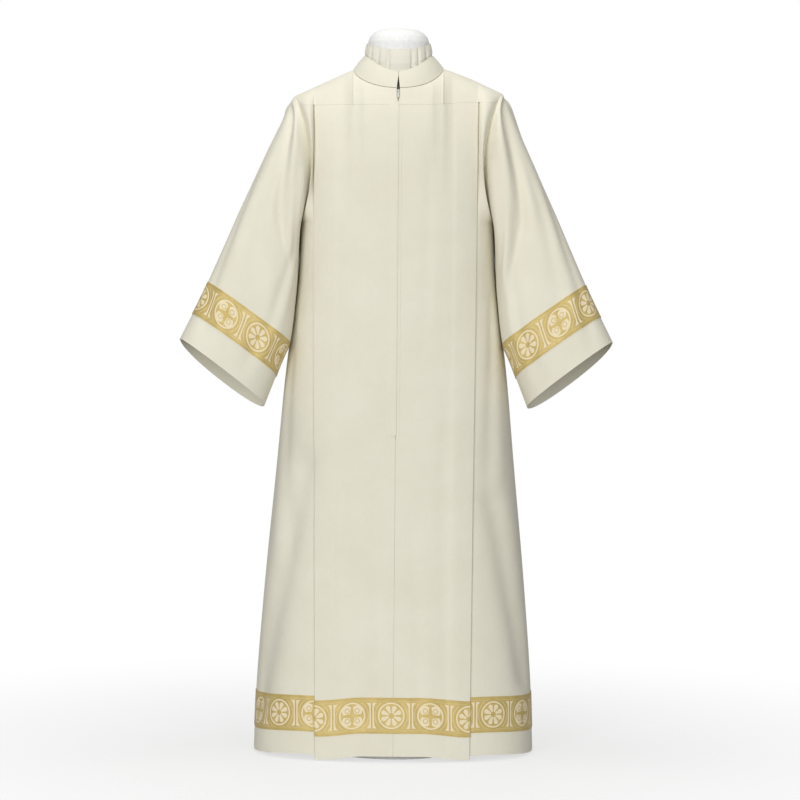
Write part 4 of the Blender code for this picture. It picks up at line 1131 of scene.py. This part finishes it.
@dataclass
class Sleeves:
    """The wide sleeves with their galloon."""

    shape: RobeShape
    finishes: Finishes
    band: tuple[float, float] = (8.0, 10.0)
    roundness: tuple[float, ...] = (2.0, 2.5, 2.6, 2.25)

    SECTIONS: ClassVar[Table] = Table(
        (
            "station", "outer_x", "outer_z", "inner_x", "inner_z",
            "centre_y", "depth", "lift", "drop", "inset", "lead",
        ),
        (
            (0, 0.2210, 1.3990, 0.2050, 1.1300, 0.000, 0.0860, 0.000, 0.000, 0.0270, 0.000),
            (1, 0.2250, 1.3945, 0.2064, 1.1316, 0.000, 0.0862, 0.000, 0.000, 0.0255, 0.006),
            (2, 0.2330, 1.3800, 0.2076, 1.1250, -0.001, 0.0865, 0.000, 0.000, 0.0225, 0.012),
            (3, 0.2530, 1.3350, 0.2081, 1.1000, -0.005, 0.0865, 0.001, 0.001, 0.0150, 0.020),
            (4, 0.2820, 1.2740, 0.2098, 1.0500, -0.012, 0.0850, 0.002, 0.003, 0.0080, 0.022),
            (5, 0.3110, 1.2095, 0.2118, 1.0000, -0.022, 0.0830, 0.003, 0.006, 0.0035, 0.020),
            (6, 0.3390, 1.1450, 0.2156, 0.9550, -0.034, 0.0800, 0.005, 0.010, 0.0010, 0.014),
            (7, 0.3660, 1.0800, 0.2198, 0.9130, -0.047, 0.0780, 0.007, 0.014, 0.0000, 0.010),
            (8, 0.4010, 0.9980, 0.2262, 0.8740, -0.060, 0.0760, 0.010, 0.020, 0.0000, 0.004),
            (9, 0.4165, 0.9640, 0.2400, 0.8410, -0.067, 0.0755, 0.011, 0.022, 0.0000, 0.000),
            (10, 0.4325, 0.9305, 0.2545, 0.8043, -0.073, 0.0745, 0.012, 0.024, 0.0000, 0.000),
            (11, 0.4580, 0.8784, 0.2780, 0.7430, -0.085, 0.0730, 0.013, 0.027, 0.0000, 0.000),
        ),
    )
    CREASES: ClassVar[dict[Side, tuple[Crease, ...]]] = {
        Side.RIGHT: (
            Crease((24, 2.0), (96, 4.8), 0.0085, 14, 6.5, 0.50),
            Crease((34, 2.4), (104, 9.4), 0.0032, 12, 6.0, 0.45),
            Crease((128, 4.4), (112, 10.4), 0.0036, 9, -3.0, 0.45),
            Crease((16, 4.6), (62, 10.8), 0.0034, 11, -4.0),
            Crease((336, 2.0), (264, 4.8), 0.0080, 14, -6.5, 0.50),
            Crease((326, 2.4), (256, 9.6), 0.0050, 12, -6.0, 0.45),
            Crease((232, 4.0), (248, 10.2), 0.0036, 9, 3.0, 0.45),
        ),
        Side.LEFT: (
            Crease((18, 1.6), (98, 5.35), 0.0125, 16, -3.5, 0.55),
            Crease((30, 2.8), (96, 9.6), 0.0030, 12, -5.0, 0.45),
            Crease((112, 5.2), (124, 10.5), 0.0034, 9, 3.0, 0.45),
            Crease((14, 5.0), (58, 10.8), 0.0034, 11, 4.0),
            Crease((342, 1.6), (262, 5.35), 0.0100, 16, 3.5, 0.50),
            Crease((330, 2.6), (262, 9.4), 0.0046, 12, 5.0, 0.45),
            Crease((246, 5.0), (238, 10.4), 0.0034, 9, -3.0, 0.45),
        ),
    }
    ANCHORS: ClassVar[dict[Side, float]] = {Side.RIGHT: 111.0, Side.LEFT: 122.0}

    def ring(self, stations: Array, degrees: Array) -> Array:
        """Points round the sleeve of the +X side.

        A ring is an ellipse between its outer and inner edge, with its front lifted, its back
        let down and its inner edge led forward, past the body's side. 0 degrees is its outer
        edge, 90 its front and 180 its inner edge.
        """
        row = {key: value[:, None] for key, value in self.SECTIONS.at(stations).items()}
        turn = np.radians(degrees)[None]
        power = 2 / np.interp(stations, (0, 3, 8, 11), self.roundness)[:, None]
        level, upright = (np.sign(f(turn)) * np.abs(f(turn)) ** power for f in (np.sin, np.cos))
        x = (row["outer_x"] + row["inner_x"]) / 2 + (row["outer_x"] - row["inner_x"]) / 2 * upright
        z = (row["outer_z"] + row["inner_z"]) / 2 + (row["outer_z"] - row["inner_z"]) / 2 * upright
        swing = np.where(level > 0, row["lift"], row["drop"])
        x = x - row["inset"] * level**2
        y = row["centre_y"] - row["depth"] * level - row["lead"] * ((1 - upright) / 2) ** 3
        return np.stack([x, y, z + swing * level], axis=-1)

    def sleeve(self, side: Side) -> tuple[Array, Array, Array]:
        """The creased sleeve's stations, outer points and ways out of it."""
        stretches = ((0.0, 3.0, 44), (3.0, 8.0, 60), (8.0, 10.0, 16), (10.0, 11.0, 9))
        stations = np.concatenate([np.linspace(a, b, n, endpoint=False) for a, b, n in stretches] + [[11.0]])
        degrees = 180 + np.linspace(0, 360, 168, endpoint=False)
        grid = self.ring(stations, degrees)
        ways = facing_out(outward(grid, closed=True), grid)
        turn = np.mod(degrees, 360)[None]
        up = stations[:, None]
        pull = sum(c.pull(turn, up) for c in self.CREASES[side]) * smooth(0.0, 1.3, up)
        pull = pull * smooth(4, 22, np.abs(turn - 180))
        grid = grid - ways * pull[..., None]
        ways = facing_out(outward(grid, closed=True), grid)
        facing = np.sign(np.sin(np.radians(degrees)))
        parts = {face: facing == -face.value for face in Face}
        for face, part in parts.items():
            grid[:, part] += self.shape.recess(face, grid[:1, part], grid[:, part])
        grid[0, :, 0] += GAP
        for face, part in parts.items():
            ways[0, part] = self.shape.seam_way(face, grid[0, part])
        return stations, grid * side.mirror, ways * side.mirror

    def build(self) -> list[bpy.types.Object]:
        """Make both sleeves and their bands."""
        made, seams = [], []
        for side in Side:
            stations, outer, ways = self.sleeve(side)
            place = Pattern.place(outer, closed=True)
            inner = outer - ways * CLOTH
            piece = Pattern.shell(f"sleeve_cloth_{side.word}", outer, inner, place, closed=True)
            made.append(dress(piece, self.finishes.cloth, f"sleeve_{side.word}"))
            rows = (stations >= self.band[0] - 1e-6) & (stations <= self.band[1] + 1e-6)
            points, out = outer[rows], ways[rows]
            place = Pattern.place(points, closed=True)
            degrees = np.linspace(180, 540, place.shape[1])
            middle = place.shape[0] // 2
            place[..., 0] -= np.interp(360 + self.ANCHORS[side], degrees, place[middle, :, 0])
            place[..., 1] -= place[-1:, :, 1] / 2
            near, far = points + out * GAP, points + out * (GAP + BAND_CLOTH)
            seams += edge_lines(*(np.concatenate([a, a[:, :1]], axis=1) for a in (far, out)))
            piece = Pattern.shell(f"cuff_galloon_{side.word}", far, near, place, closed=True)
            made.append(dress(piece, self.finishes.galloon, f"cuff_band_{side.word}"))
        made.append(sew("cuff_galloon_stitches", seams, self.finishes.gold_thread))
        return made


@dataclass
class Collar:
    """The stand-up band collar, slit at the front."""

    shape: RobeShape
    finishes: Finishes
    top_x: float = 0.0735
    top_front: float = 0.068
    top_back: float = 0.0715
    side_z: float = 1.486
    drop: float = 0.0353
    back_rise: float = 0.008
    slit: tuple[float, ...] = (0.0034, 0.0019, 0.0003, 0.0003)
    slit_shares: tuple[float, ...] = (0.0, 0.35, 0.72, 1.0)
    slit_reach: float = 0.012
    foot_clear: float = 0.0008
    bow: float = 0.0009

    def points(self) -> Array:
        """The outer face: straight from the neck seam to the upper edge, a little bowed."""
        stretches = ((0, 20, 20), (20, 340, 150))
        degrees = [np.linspace(low, high, count, endpoint=False) for low, high, count in stretches]
        degrees = np.concatenate([*degrees, np.linspace(340, 360, 21)])
        turn = np.radians(degrees)
        along = np.abs(np.cos(turn))
        front = np.cos(turn) > 0
        angle = np.arccos(np.minimum(along, 1))
        foot = np.where(
            front[:, None], self.shape.neckline(Face.FRONT, angle), self.shape.neckline(Face.BACK, angle)
        )
        foot[:, 0] = np.abs(foot[:, 0]) * np.sign(np.sin(turn))
        reach = np.where(front, -self.top_front, self.top_back) * along
        rise = np.where(front, -self.drop * along**2.5, self.back_rise * along)
        top = np.stack([self.top_x * np.sin(turn), reach, self.side_z + rise], axis=-1)
        shares = np.linspace(0, 1, 20)[:, None, None]
        foot = foot + np.array([0, 0, GAP + self.foot_clear])
        grid = foot + (top - foot) * shares
        grid = grid + outward(grid) * self.bow * np.sin(np.pi * shares)
        slit = np.interp(shares[:, 0, 0], self.slit_shares, self.slit)[:, None]
        x = grid[..., 0]
        near = (np.abs(x) < self.slit_reach) & front[None]
        sign = np.where(degrees < 180, 1.0, -1.0)[None]
        grid[..., 0] = np.where(near, sign * (slit + np.abs(x) * (1 - slit / self.slit_reach)), x)
        return grid

    def build(self) -> list[bpy.types.Object]:
        """Make the collar."""
        grid = self.points()
        ways = facing_out(outward(grid), grid)
        piece = Pattern.shell("collar_cloth", grid, grid - ways * COLLAR_CLOTH, Pattern.place(grid))
        return [dress(piece, self.finishes.cloth, "collar")]


@dataclass
class Zip:
    """The lap that hides the zip, the tape with its teeth, the slider and its pull."""

    shape: RobeShape
    finishes: Finishes
    low: float = 0.682
    lap_high: float = 1.384
    tape_high: float = 1.408
    lap_x: tuple[float, float] = (-0.020, 0.0014)
    tape_x: float = 0.012
    stitch_x: float = 0.008
    stitch_lift: float = 0.0002
    lap_lift: float = 0.0003
    lap_swell: float = 0.0012
    lap_swell_x: tuple[float, float] = (-0.020, -0.004)
    lap_cloth: float = 0.0008
    lap_clear: float = 0.0001
    tape_depths: tuple[float, float] = (0.0033, 0.0040)
    teeth_x: float = 0.0013
    teeth_depth: float = 0.0027
    teeth_end: float = 0.004

    def strip(self, high: float, across: Array, rows: int) -> tuple[Array, Array]:
        """Points and ways of the front's middle, between the zip's foot and a height."""
        heights = np.linspace(self.low, high, rows)
        shape, fold = self.shape, self.shape.yoke_fold(Side.LEFT)
        along = np.abs(across)[None] / fold
        level = heights[:, None]
        every = np.broadcast_to(along, (rows, len(across)))
        rise = shape.rise_at(Side.LEFT, Face.FRONT, every, level)
        grid = np.where(
            (level <= UNDERARM_Z)[..., None],
            shape.skirt(Side.LEFT, Face.FRONT, along, np.minimum(level, UNDERARM_Z)),
            shape.chest(Side.LEFT, Face.FRONT, along, rise),
        )
        grid[..., 0] = across
        ways = outward(grid) * np.array([0, 1, 1])
        ways[..., 1] = -np.abs(ways[..., 1])
        return grid, ways

    def build(self) -> list[bpy.types.Object]:
        """Make the lap and the tape with its teeth; the slider and the pull stay as they are."""
        across = np.linspace(*self.lap_x, 14)
        grid, ways = self.strip(self.lap_high, across, 180)
        lift = self.lap_lift + self.lap_swell * smooth(*self.lap_swell_x, across)[None, :, None]
        outer = grid + ways * lift
        inner = grid + ways * np.maximum(lift - self.lap_cloth, self.lap_clear)
        lap = Pattern.shell("zip_lap_cloth", outer, inner, Pattern.place(outer))
        made = [dress(lap, self.finishes.cloth, "zip_lap")]
        across = np.linspace(-self.tape_x, self.tape_x, 7)
        grid, ways = self.strip(self.tape_high, across, 120)
        outer, inner = (grid - ways * depth for depth in self.tape_depths)
        tape = Pattern.shell("zip_tape_cloth", outer, inner, Pattern.place(outer))
        made.append(dress(tape, self.finishes.tape, "zip_tape"))
        across = np.array([-self.teeth_x, self.teeth_x])
        grid, ways = self.strip(self.tape_high - self.teeth_end, across, 120)
        lines = [(grid[:, k] - ways[:, k] * self.teeth_depth, ways[:, k]) for k in (0, 1)]
        teeth = TOOTH.run("zip_teeth", lines)
        teeth.data.materials.append(self.finishes.teeth)
        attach(teeth, "robe")
        made.append(teeth)
        grid, ways = self.strip(self.lap_high, np.array([self.stitch_x, self.stitch_x + 0.002]), 180)
        seam = [(grid[:, 0] + ways[:, 0] * self.stitch_lift, ways[:, 0])]
        made.append(sew("zip_stitches", seam, self.finishes.thread))
        for node in ("zip_slider", "zip_pull"):
            repaint(node, self.finishes.metal)
        return made


@dataclass
class DressForm:
    """The limbless form: torso with a domed neck, its gathered neck cover, pole and base."""

    finishes: Finishes
    foot_z: float = 0.700
    crown_z: float = 1.5436
    cover_x: float = 0.0676
    cover_y: float = 0.0620
    cover_cloth: float = 0.0010
    cover_top: tuple[float, float, float] = (1.497, 1.513, 1.516)
    cover_foot: tuple[float, float, float] = (1.434, 1.474, 1.464)
    fullness: tuple[float, ...] = (0.0004, 0.0034, 0.0050, 0.0036, 0.0022)

    RINGS: ClassVar[Table] = Table(
        ("height", "half_width", "front", "back", "roundness"),
        (
            (0.700, 0.150, 0.095, 0.100, 2.2),
            (0.715, 0.162, 0.104, 0.109, 2.2),
            (0.800, 0.168, 0.108, 0.116, 2.2),
            (0.900, 0.157, 0.100, 0.105, 2.2),
            (1.020, 0.140, 0.092, 0.088, 2.2),
            (1.130, 0.157, 0.102, 0.092, 2.2),
            (1.220, 0.170, 0.104, 0.094, 2.2),
            (1.300, 0.176, 0.096, 0.090, 2.2),
            (1.350, 0.190, 0.085, 0.078, 2.0),
            (1.385, 0.201, 0.070, 0.066, 1.6),
            (1.4035, 0.2035, 0.062, 0.060, 1.3),
            (1.4200, 0.1700, 0.059, 0.058, 1.1),
            (1.4400, 0.1268, 0.058, 0.059, 1.1),
            (1.4520, 0.0930, 0.0595, 0.0595, 1.3),
            (1.4590, 0.0730, 0.0598, 0.0600, 1.7),
            (1.4680, 0.0655, 0.0600, 0.0600, 2.0),
            (1.5150, 0.0655, 0.0600, 0.0600, 2.0),
            (1.5270, 0.0610, 0.0560, 0.0560, 2.0),
            (1.5360, 0.0520, 0.0480, 0.0480, 2.0),
            (1.5410, 0.0420, 0.0385, 0.0385, 2.0),
            (1.5430, 0.0280, 0.0250, 0.0250, 2.0),
        ),
    )
    GATHERS: ClassVar[tuple[tuple[float, float, float], ...]] = (
        (-172, 7, 0.7), (-150, 6, 0.9), (-126, 8, 0.6), (-101, 6, 1.0), (-78, 6, 0.9),
        (-56, 5, 0.8), (-38, 5, 0.7), (-19, 6, 1.25), (24, 4, 0.9), (37, 4, 1.0),
        (57, 6, 0.7), (82, 6, 0.9), (108, 7, 0.8), (134, 6, 1.0), (158, 7, 0.7),
    )

    def build(self) -> list[bpy.types.Object]:
        """Make the torso and the cover, and dress the pole and the base."""
        for node in ("stand_pole", "stand_base"):
            repaint(node, self.finishes.paint)
        return [self.torso(), self.cover()]

    def torso(self) -> bpy.types.Object:
        """Rings of rounded sections: |x/width| and |y/depth| to the power of roundness sum to 1."""
        known = np.array([row[0] for row in self.RINGS.rows])
        heights = np.concatenate([np.linspace(a, b, 8, endpoint=False) for a, b in zip(known, known[1:])])
        heights = np.concatenate([heights, known[-1:]])
        table = np.array(self.RINGS.rows)
        width, front, back, power = (np.interp(heights, known, table[:, k])[:, None] for k in range(1, 5))
        for _ in range(2):
            width, front, back = (self.soften(value) for value in (width, front, back))
        turn = np.linspace(0, 2 * np.pi, 120, endpoint=False)[None]
        cos, sin = np.cos(turn), np.sin(turn)
        x = width * np.sign(cos) * np.abs(cos) ** (2 / power)
        y = np.where(sin > 0, back, front) * np.sign(sin) * np.abs(sin) ** (2 / power)
        grid = np.stack([x, y, np.broadcast_to(heights[:, None], x.shape)], axis=-1)
        end = np.zeros_like(grid[:1])
        grid = np.concatenate([end, grid, end])
        grid[0, :, 2], grid[-1, :, 2] = self.foot_z, self.crown_z
        rows, columns = grid.shape[:2]
        i, j = (a.ravel() for a in np.mgrid[0 : rows - 1, 0:columns])
        k = (j + 1) % columns
        low, high = i * columns, (i + 1) * columns
        faces = np.stack([low + j, low + k, high + k, high + j], axis=1)
        mesh = bpy.data.meshes.new("form_body")
        mesh.from_pydata(grid.reshape(-1, 3).tolist(), [], faces.tolist())
        weld(mesh)
        mesh.shade_smooth()
        return dress(Pattern.put("form_body", mesh), self.finishes.form, "form_torso")

    @staticmethod
    def soften(values: Array) -> Array:
        """Each value drawn towards its neighbours, the ends held."""
        inner = (values[:-2] + 2 * values[1:-1] + values[2:]) / 4
        return np.concatenate([values[:1], inner, values[-1:]])

    def cover(self) -> bpy.types.Object:
        """The gathered cover: it stands out from the neck, and each gather draws it in."""
        degrees = np.linspace(-180, 180, 360, endpoint=False)
        turn = np.radians(degrees)[None]
        shares = np.linspace(0, 1, 40)[:, None]
        gathers = np.zeros_like(turn + shares)
        for angle, half, depth in self.GATHERS:
            lean = 3.0 * math.sin(angle * 1.7) * (shares - 0.5)
            off = np.mod(degrees[None] - angle - lean + 180, 360) - 180
            gathers = np.maximum(gathers, np.minimum(depth * np.exp(-((off / (0.62 * half)) ** 2)), 1.0))
        puff = np.interp(shares, (0, 0.25, 0.5, 0.66, 1), self.fullness)
        ripple = 0.0003 * np.sin(np.radians(degrees[None] * 11 + 40 * shares))
        puff = puff * (1 - gathers) + ripple * (1 - gathers)
        along = np.cos(turn)
        top, foot = (self.between(values, along) for values in (self.cover_top, self.cover_foot))
        height = top + (foot - top) * shares
        sheets = []
        for reach in (puff, puff - self.cover_cloth):
            x = (self.cover_x + reach) * np.sin(turn)
            y = -(self.cover_y + reach) * along
            sheets.append(np.stack([x, y, height], axis=-1))
        piece = Pattern.shell("neck_cover_cloth", *sheets, Pattern.place(sheets[0], closed=True), closed=True)
        return dress(piece, self.finishes.cover, "form_neck_cover")

    @staticmethod
    def between(values: tuple[float, float, float], along: Array) -> Array:
        """Front, side and back values blended round the neck by the angle's cosine."""
        front, side, back = values
        return side + (np.where(along > 0, front, back) - side) * np.abs(along) ** 1.5


def edge_lines(outer: Array, ways: Array) -> list[tuple[Array, Array]]:
    """Lines for stitches 2 mm inside a band's lower and upper edge, settled with the cloth."""
    lines = []
    for edge, beside in ((0, 1), (-1, -2)):
        lines.append((settle(outer[edge] * 0.6 + outer[beside] * 0.4 + ways[edge] * 0.0001), ways[edge]))
    return lines


def weld(mesh: bpy.types.Mesh) -> None:
    """Merge a mesh's doubled points and turn its faces outwards."""
    work = bmesh.new()
    work.from_mesh(mesh)
    bmesh.ops.remove_doubles(work, verts=work.verts, dist=1e-6)
    bmesh.ops.recalc_face_normals(work, faces=work.faces)
    work.to_mesh(mesh)
    work.free()


def open_middle(grid: Array, centre_gap: Callable[[Array], Array]) -> Array:
    """Move a front's middle columns aside by the opening, fading out at its reach.

    Args:
        grid: the outer points of a front on the +X side.
        centre_gap: gives half the opening at each height.

    Returns:
        The moved points.
    """
    reach = 0.016
    gap = centre_gap(grid[..., 2])
    x = grid[..., 0]
    grid = grid.copy()
    grid[..., 0] = np.where(x < reach, gap + x * (1 - gap / reach), x)
    return grid


@dataclass(frozen=True)
class Cut:
    """A piece's flat cut: the longest runs across and up its shell, its area where it tapers."""

    width: float
    length: float
    area: float | None
    held: str
    rests_on: tuple[str, ...]


CUTS: dict[str, Cut] = {
    "back": Cut(1.009, 1.417, 1.1730, "hung", ("form_body",)),
    "front_left": Cut(0.502, 1.417, 0.5864, "hung", ("form_body",)),
    "front_right": Cut(0.500, 1.418, 0.5857, "hung", ("form_body",)),
    "back_yoke": Cut(0.538, 0.120, 0.0409, "hung", ("form_body",)),
    "front_yoke_left": Cut(0.284, 0.116, 0.0160, "hung", ("form_body",)),
    "front_yoke_right": Cut(0.284, 0.116, 0.0160, "hung", ("form_body",)),
    "collar": Cut(0.555, 0.047, 0.0194, "hung", ("form_body",)),
    "sleeve_left": Cut(0.700, 0.591, 0.2899, "hung", ("form_body",)),
    "sleeve_right": Cut(0.699, 0.590, 0.2861, "hung", ("form_body",)),
    "cuff_band_left": Cut(0.612, 0.081, 0.0468, "laid", ("sleeve_cloth_left",)),
    "cuff_band_right": Cut(0.611, 0.081, 0.0468, "laid", ("sleeve_cloth_right",)),
    "hem_band_front": Cut(0.333, 0.076, None, "laid", ("left_front_cloth", "right_front_cloth")),
    "hem_band_back": Cut(0.333, 0.076, None, "laid", ("back_cloth",)),
    "hem_band_left": Cut(0.475, 0.076, 0.0359, "laid", ("left_front_cloth", "back_cloth")),
    "hem_band_right": Cut(0.469, 0.076, 0.0355, "laid", ("right_front_cloth", "back_cloth")),
    "zip_lap": Cut(0.022, 0.706, None, "laid", ("right_front_cloth",)),
    "zip_tape": Cut(0.024, 0.730, None, "laid", ("right_front_cloth", "left_front_cloth")),
    "form_neck_cover": Cut(0.474, 0.064, 0.0223, "gathered", ("form_body",)),
}


def dress(piece: bpy.types.Object, finish: bpy.types.Material, node: str) -> bpy.types.Object:
    """Give a piece its finish, let it ride on the robe and stand for its node.

    Args:
        piece: the new piece.
        finish: its material.
        node: the solid it replaces.

    Returns:
        The same piece.
    """
    piece.data.materials.append(finish)
    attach(piece, "robe")
    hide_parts(node)
    if node != "form_torso":
        cut = CUTS[node]
        list(cut.rests_on)
    return piece


def repaint(node: str, finish: bpy.types.Material) -> None:
    """Give a node that stays its finish."""
    shown = bpy.data.objects[node]
    if not shown.material_slots:
        shown.data.materials.append(finish)
    for slot in shown.material_slots:
        slot.material = finish


@dataclass(frozen=True)
class Studio:
    """The floor, the light and the camera at the photograph's viewing angle."""

    height: float = 1.05
    distance: float = 6.4
    aside: float = 0.0077
    down: float = 1.4
    shift: float = -0.0838
    roll: float = 0.47
    lens: float = 134.3
    sensor: float = 36.0
    aim_z: float = 0.85
    surround: float = 0.30
    floor_half: float = 1.8
    floor_alpha: float = 0.34
    floor_fade: tuple[float, float] = (0.3, 1.6)

    def build(self) -> None:
        """Make all of it."""
        self.camera()
        self.lights()
        self.world()
        self.floor()
        bpy.context.scene.view_settings.view_transform = "Standard"

    def camera(self) -> None:
        """A long lens at chest height, tilted down and turned by the photograph's roll."""
        data = bpy.data.cameras.new("photo_camera")
        data.lens, data.sensor_width, data.shift_y = self.lens, self.sensor, self.shift
        camera = bpy.data.objects.new("photo_camera", data)
        camera.location = (self.aside, -self.distance, self.height)
        look = Euler((math.radians(90 - self.down), 0, 0)).to_matrix()
        camera.rotation_euler = (look @ Euler((0, 0, math.radians(self.roll))).to_matrix()).to_euler()
        bpy.context.scene.collection.objects.link(camera)
        bpy.context.scene.camera = camera

    def lights(self) -> None:
        """A large soft key at the left, a weaker fill, one light above and one behind."""
        rows = (
            ("key", (-2.6, -6.5, 1.9), 3.0, 236.0),
            ("fill", (2.6, -6.5, 1.9), 3.0, 112.0),
            ("top", (-0.1, -0.15, 3.3), 1.1, 22.0),
            ("back", (0.0, 6.0, 1.9), 3.0, 60.0),
        )
        for name, where, size, power in rows:
            data = bpy.data.lights.new(name, "AREA")
            data.size, data.energy = size, power
            light = bpy.data.objects.new(name, data)
            light.location = where
            aim = Vector((0.0, 0.0, self.aim_z)) - Vector(where)
            light.rotation_euler = aim.to_track_quat("-Z", "Y").to_euler()
            bpy.context.scene.collection.objects.link(light)

    def world(self) -> None:
        """White behind everything, and a dimmer white as the light from all round."""
        world = bpy.data.worlds.new("studio")
        bpy.context.scene.world = world
        world.use_nodes = True
        nodes, links = world.node_tree.nodes, world.node_tree.links
        around = nodes["Background"]
        around.inputs["Strength"].default_value = self.surround
        around.inputs["Color"].default_value = (1, 1, 1, 1)
        seen = nodes.new("ShaderNodeBackground")
        seen.inputs["Color"].default_value = (1, 1, 1, 1)
        rays, mix = nodes.new("ShaderNodeLightPath"), nodes.new("ShaderNodeMixShader")
        links.new(rays.outputs["Is Camera Ray"], mix.inputs[0])
        links.new(around.outputs[0], mix.inputs[1])
        links.new(seen.outputs[0], mix.inputs[2])
        links.new(mix.outputs[0], nodes["World Output"].inputs["Surface"])

    def floor(self) -> None:
        """A pale floor that fades out into the white a little way from the base."""
        mesh = bpy.data.meshes.new("floor")
        half = self.floor_half
        corners = [(-half, -half, 0), (half, -half, 0), (half, half, 0), (-half, half, 0)]
        mesh.from_pydata(corners, [], [(0, 1, 2, 3)])
        floor = Pattern.put("floor", mesh)
        m = NodeMaker("floor_paper")
        distance = m.node("ShaderNodeVectorMath", {"operation": "LENGTH"}, {0: m.object_place()}, "Value")
        fade = self.floor_alpha * (1.0 - m.step(*self.floor_fade, distance))
        mesh.materials.append(m.finish(Base_Color=(0.9, 0.9, 0.9), Roughness=0.9, Alpha=fade))


def main() -> None:
    """Build the robe's pieces in order round the frame."""
    logging.basicConfig(level=logging.INFO, format="%(message)s")
    bpy.ops.object.select_all(action="SELECT")
    bpy.ops.object.delete()
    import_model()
    finishes, shape = Finishes(), RobeShape()
    panels = Panels(shape, finishes)
    stages = (
        ("panels", panels.build),
        ("hem galloon", HemBands(panels, finishes).build),
        ("yokes", lambda: Yokes(shape, finishes).build(panels.centre_gap)),
        ("sleeves", Sleeves(shape, finishes).build),
        ("collar", Collar(shape, finishes).build),
        ("zip", Zip(shape, finishes).build),
        ("dress form", DressForm(finishes).build),
    )
    for word, build in stages:
        for piece in build():
            log.info("%s: %s, %d faces", word, piece.name, len(piece.data.polygons))
    Studio().build()


if __name__ == "__main__":
    main()
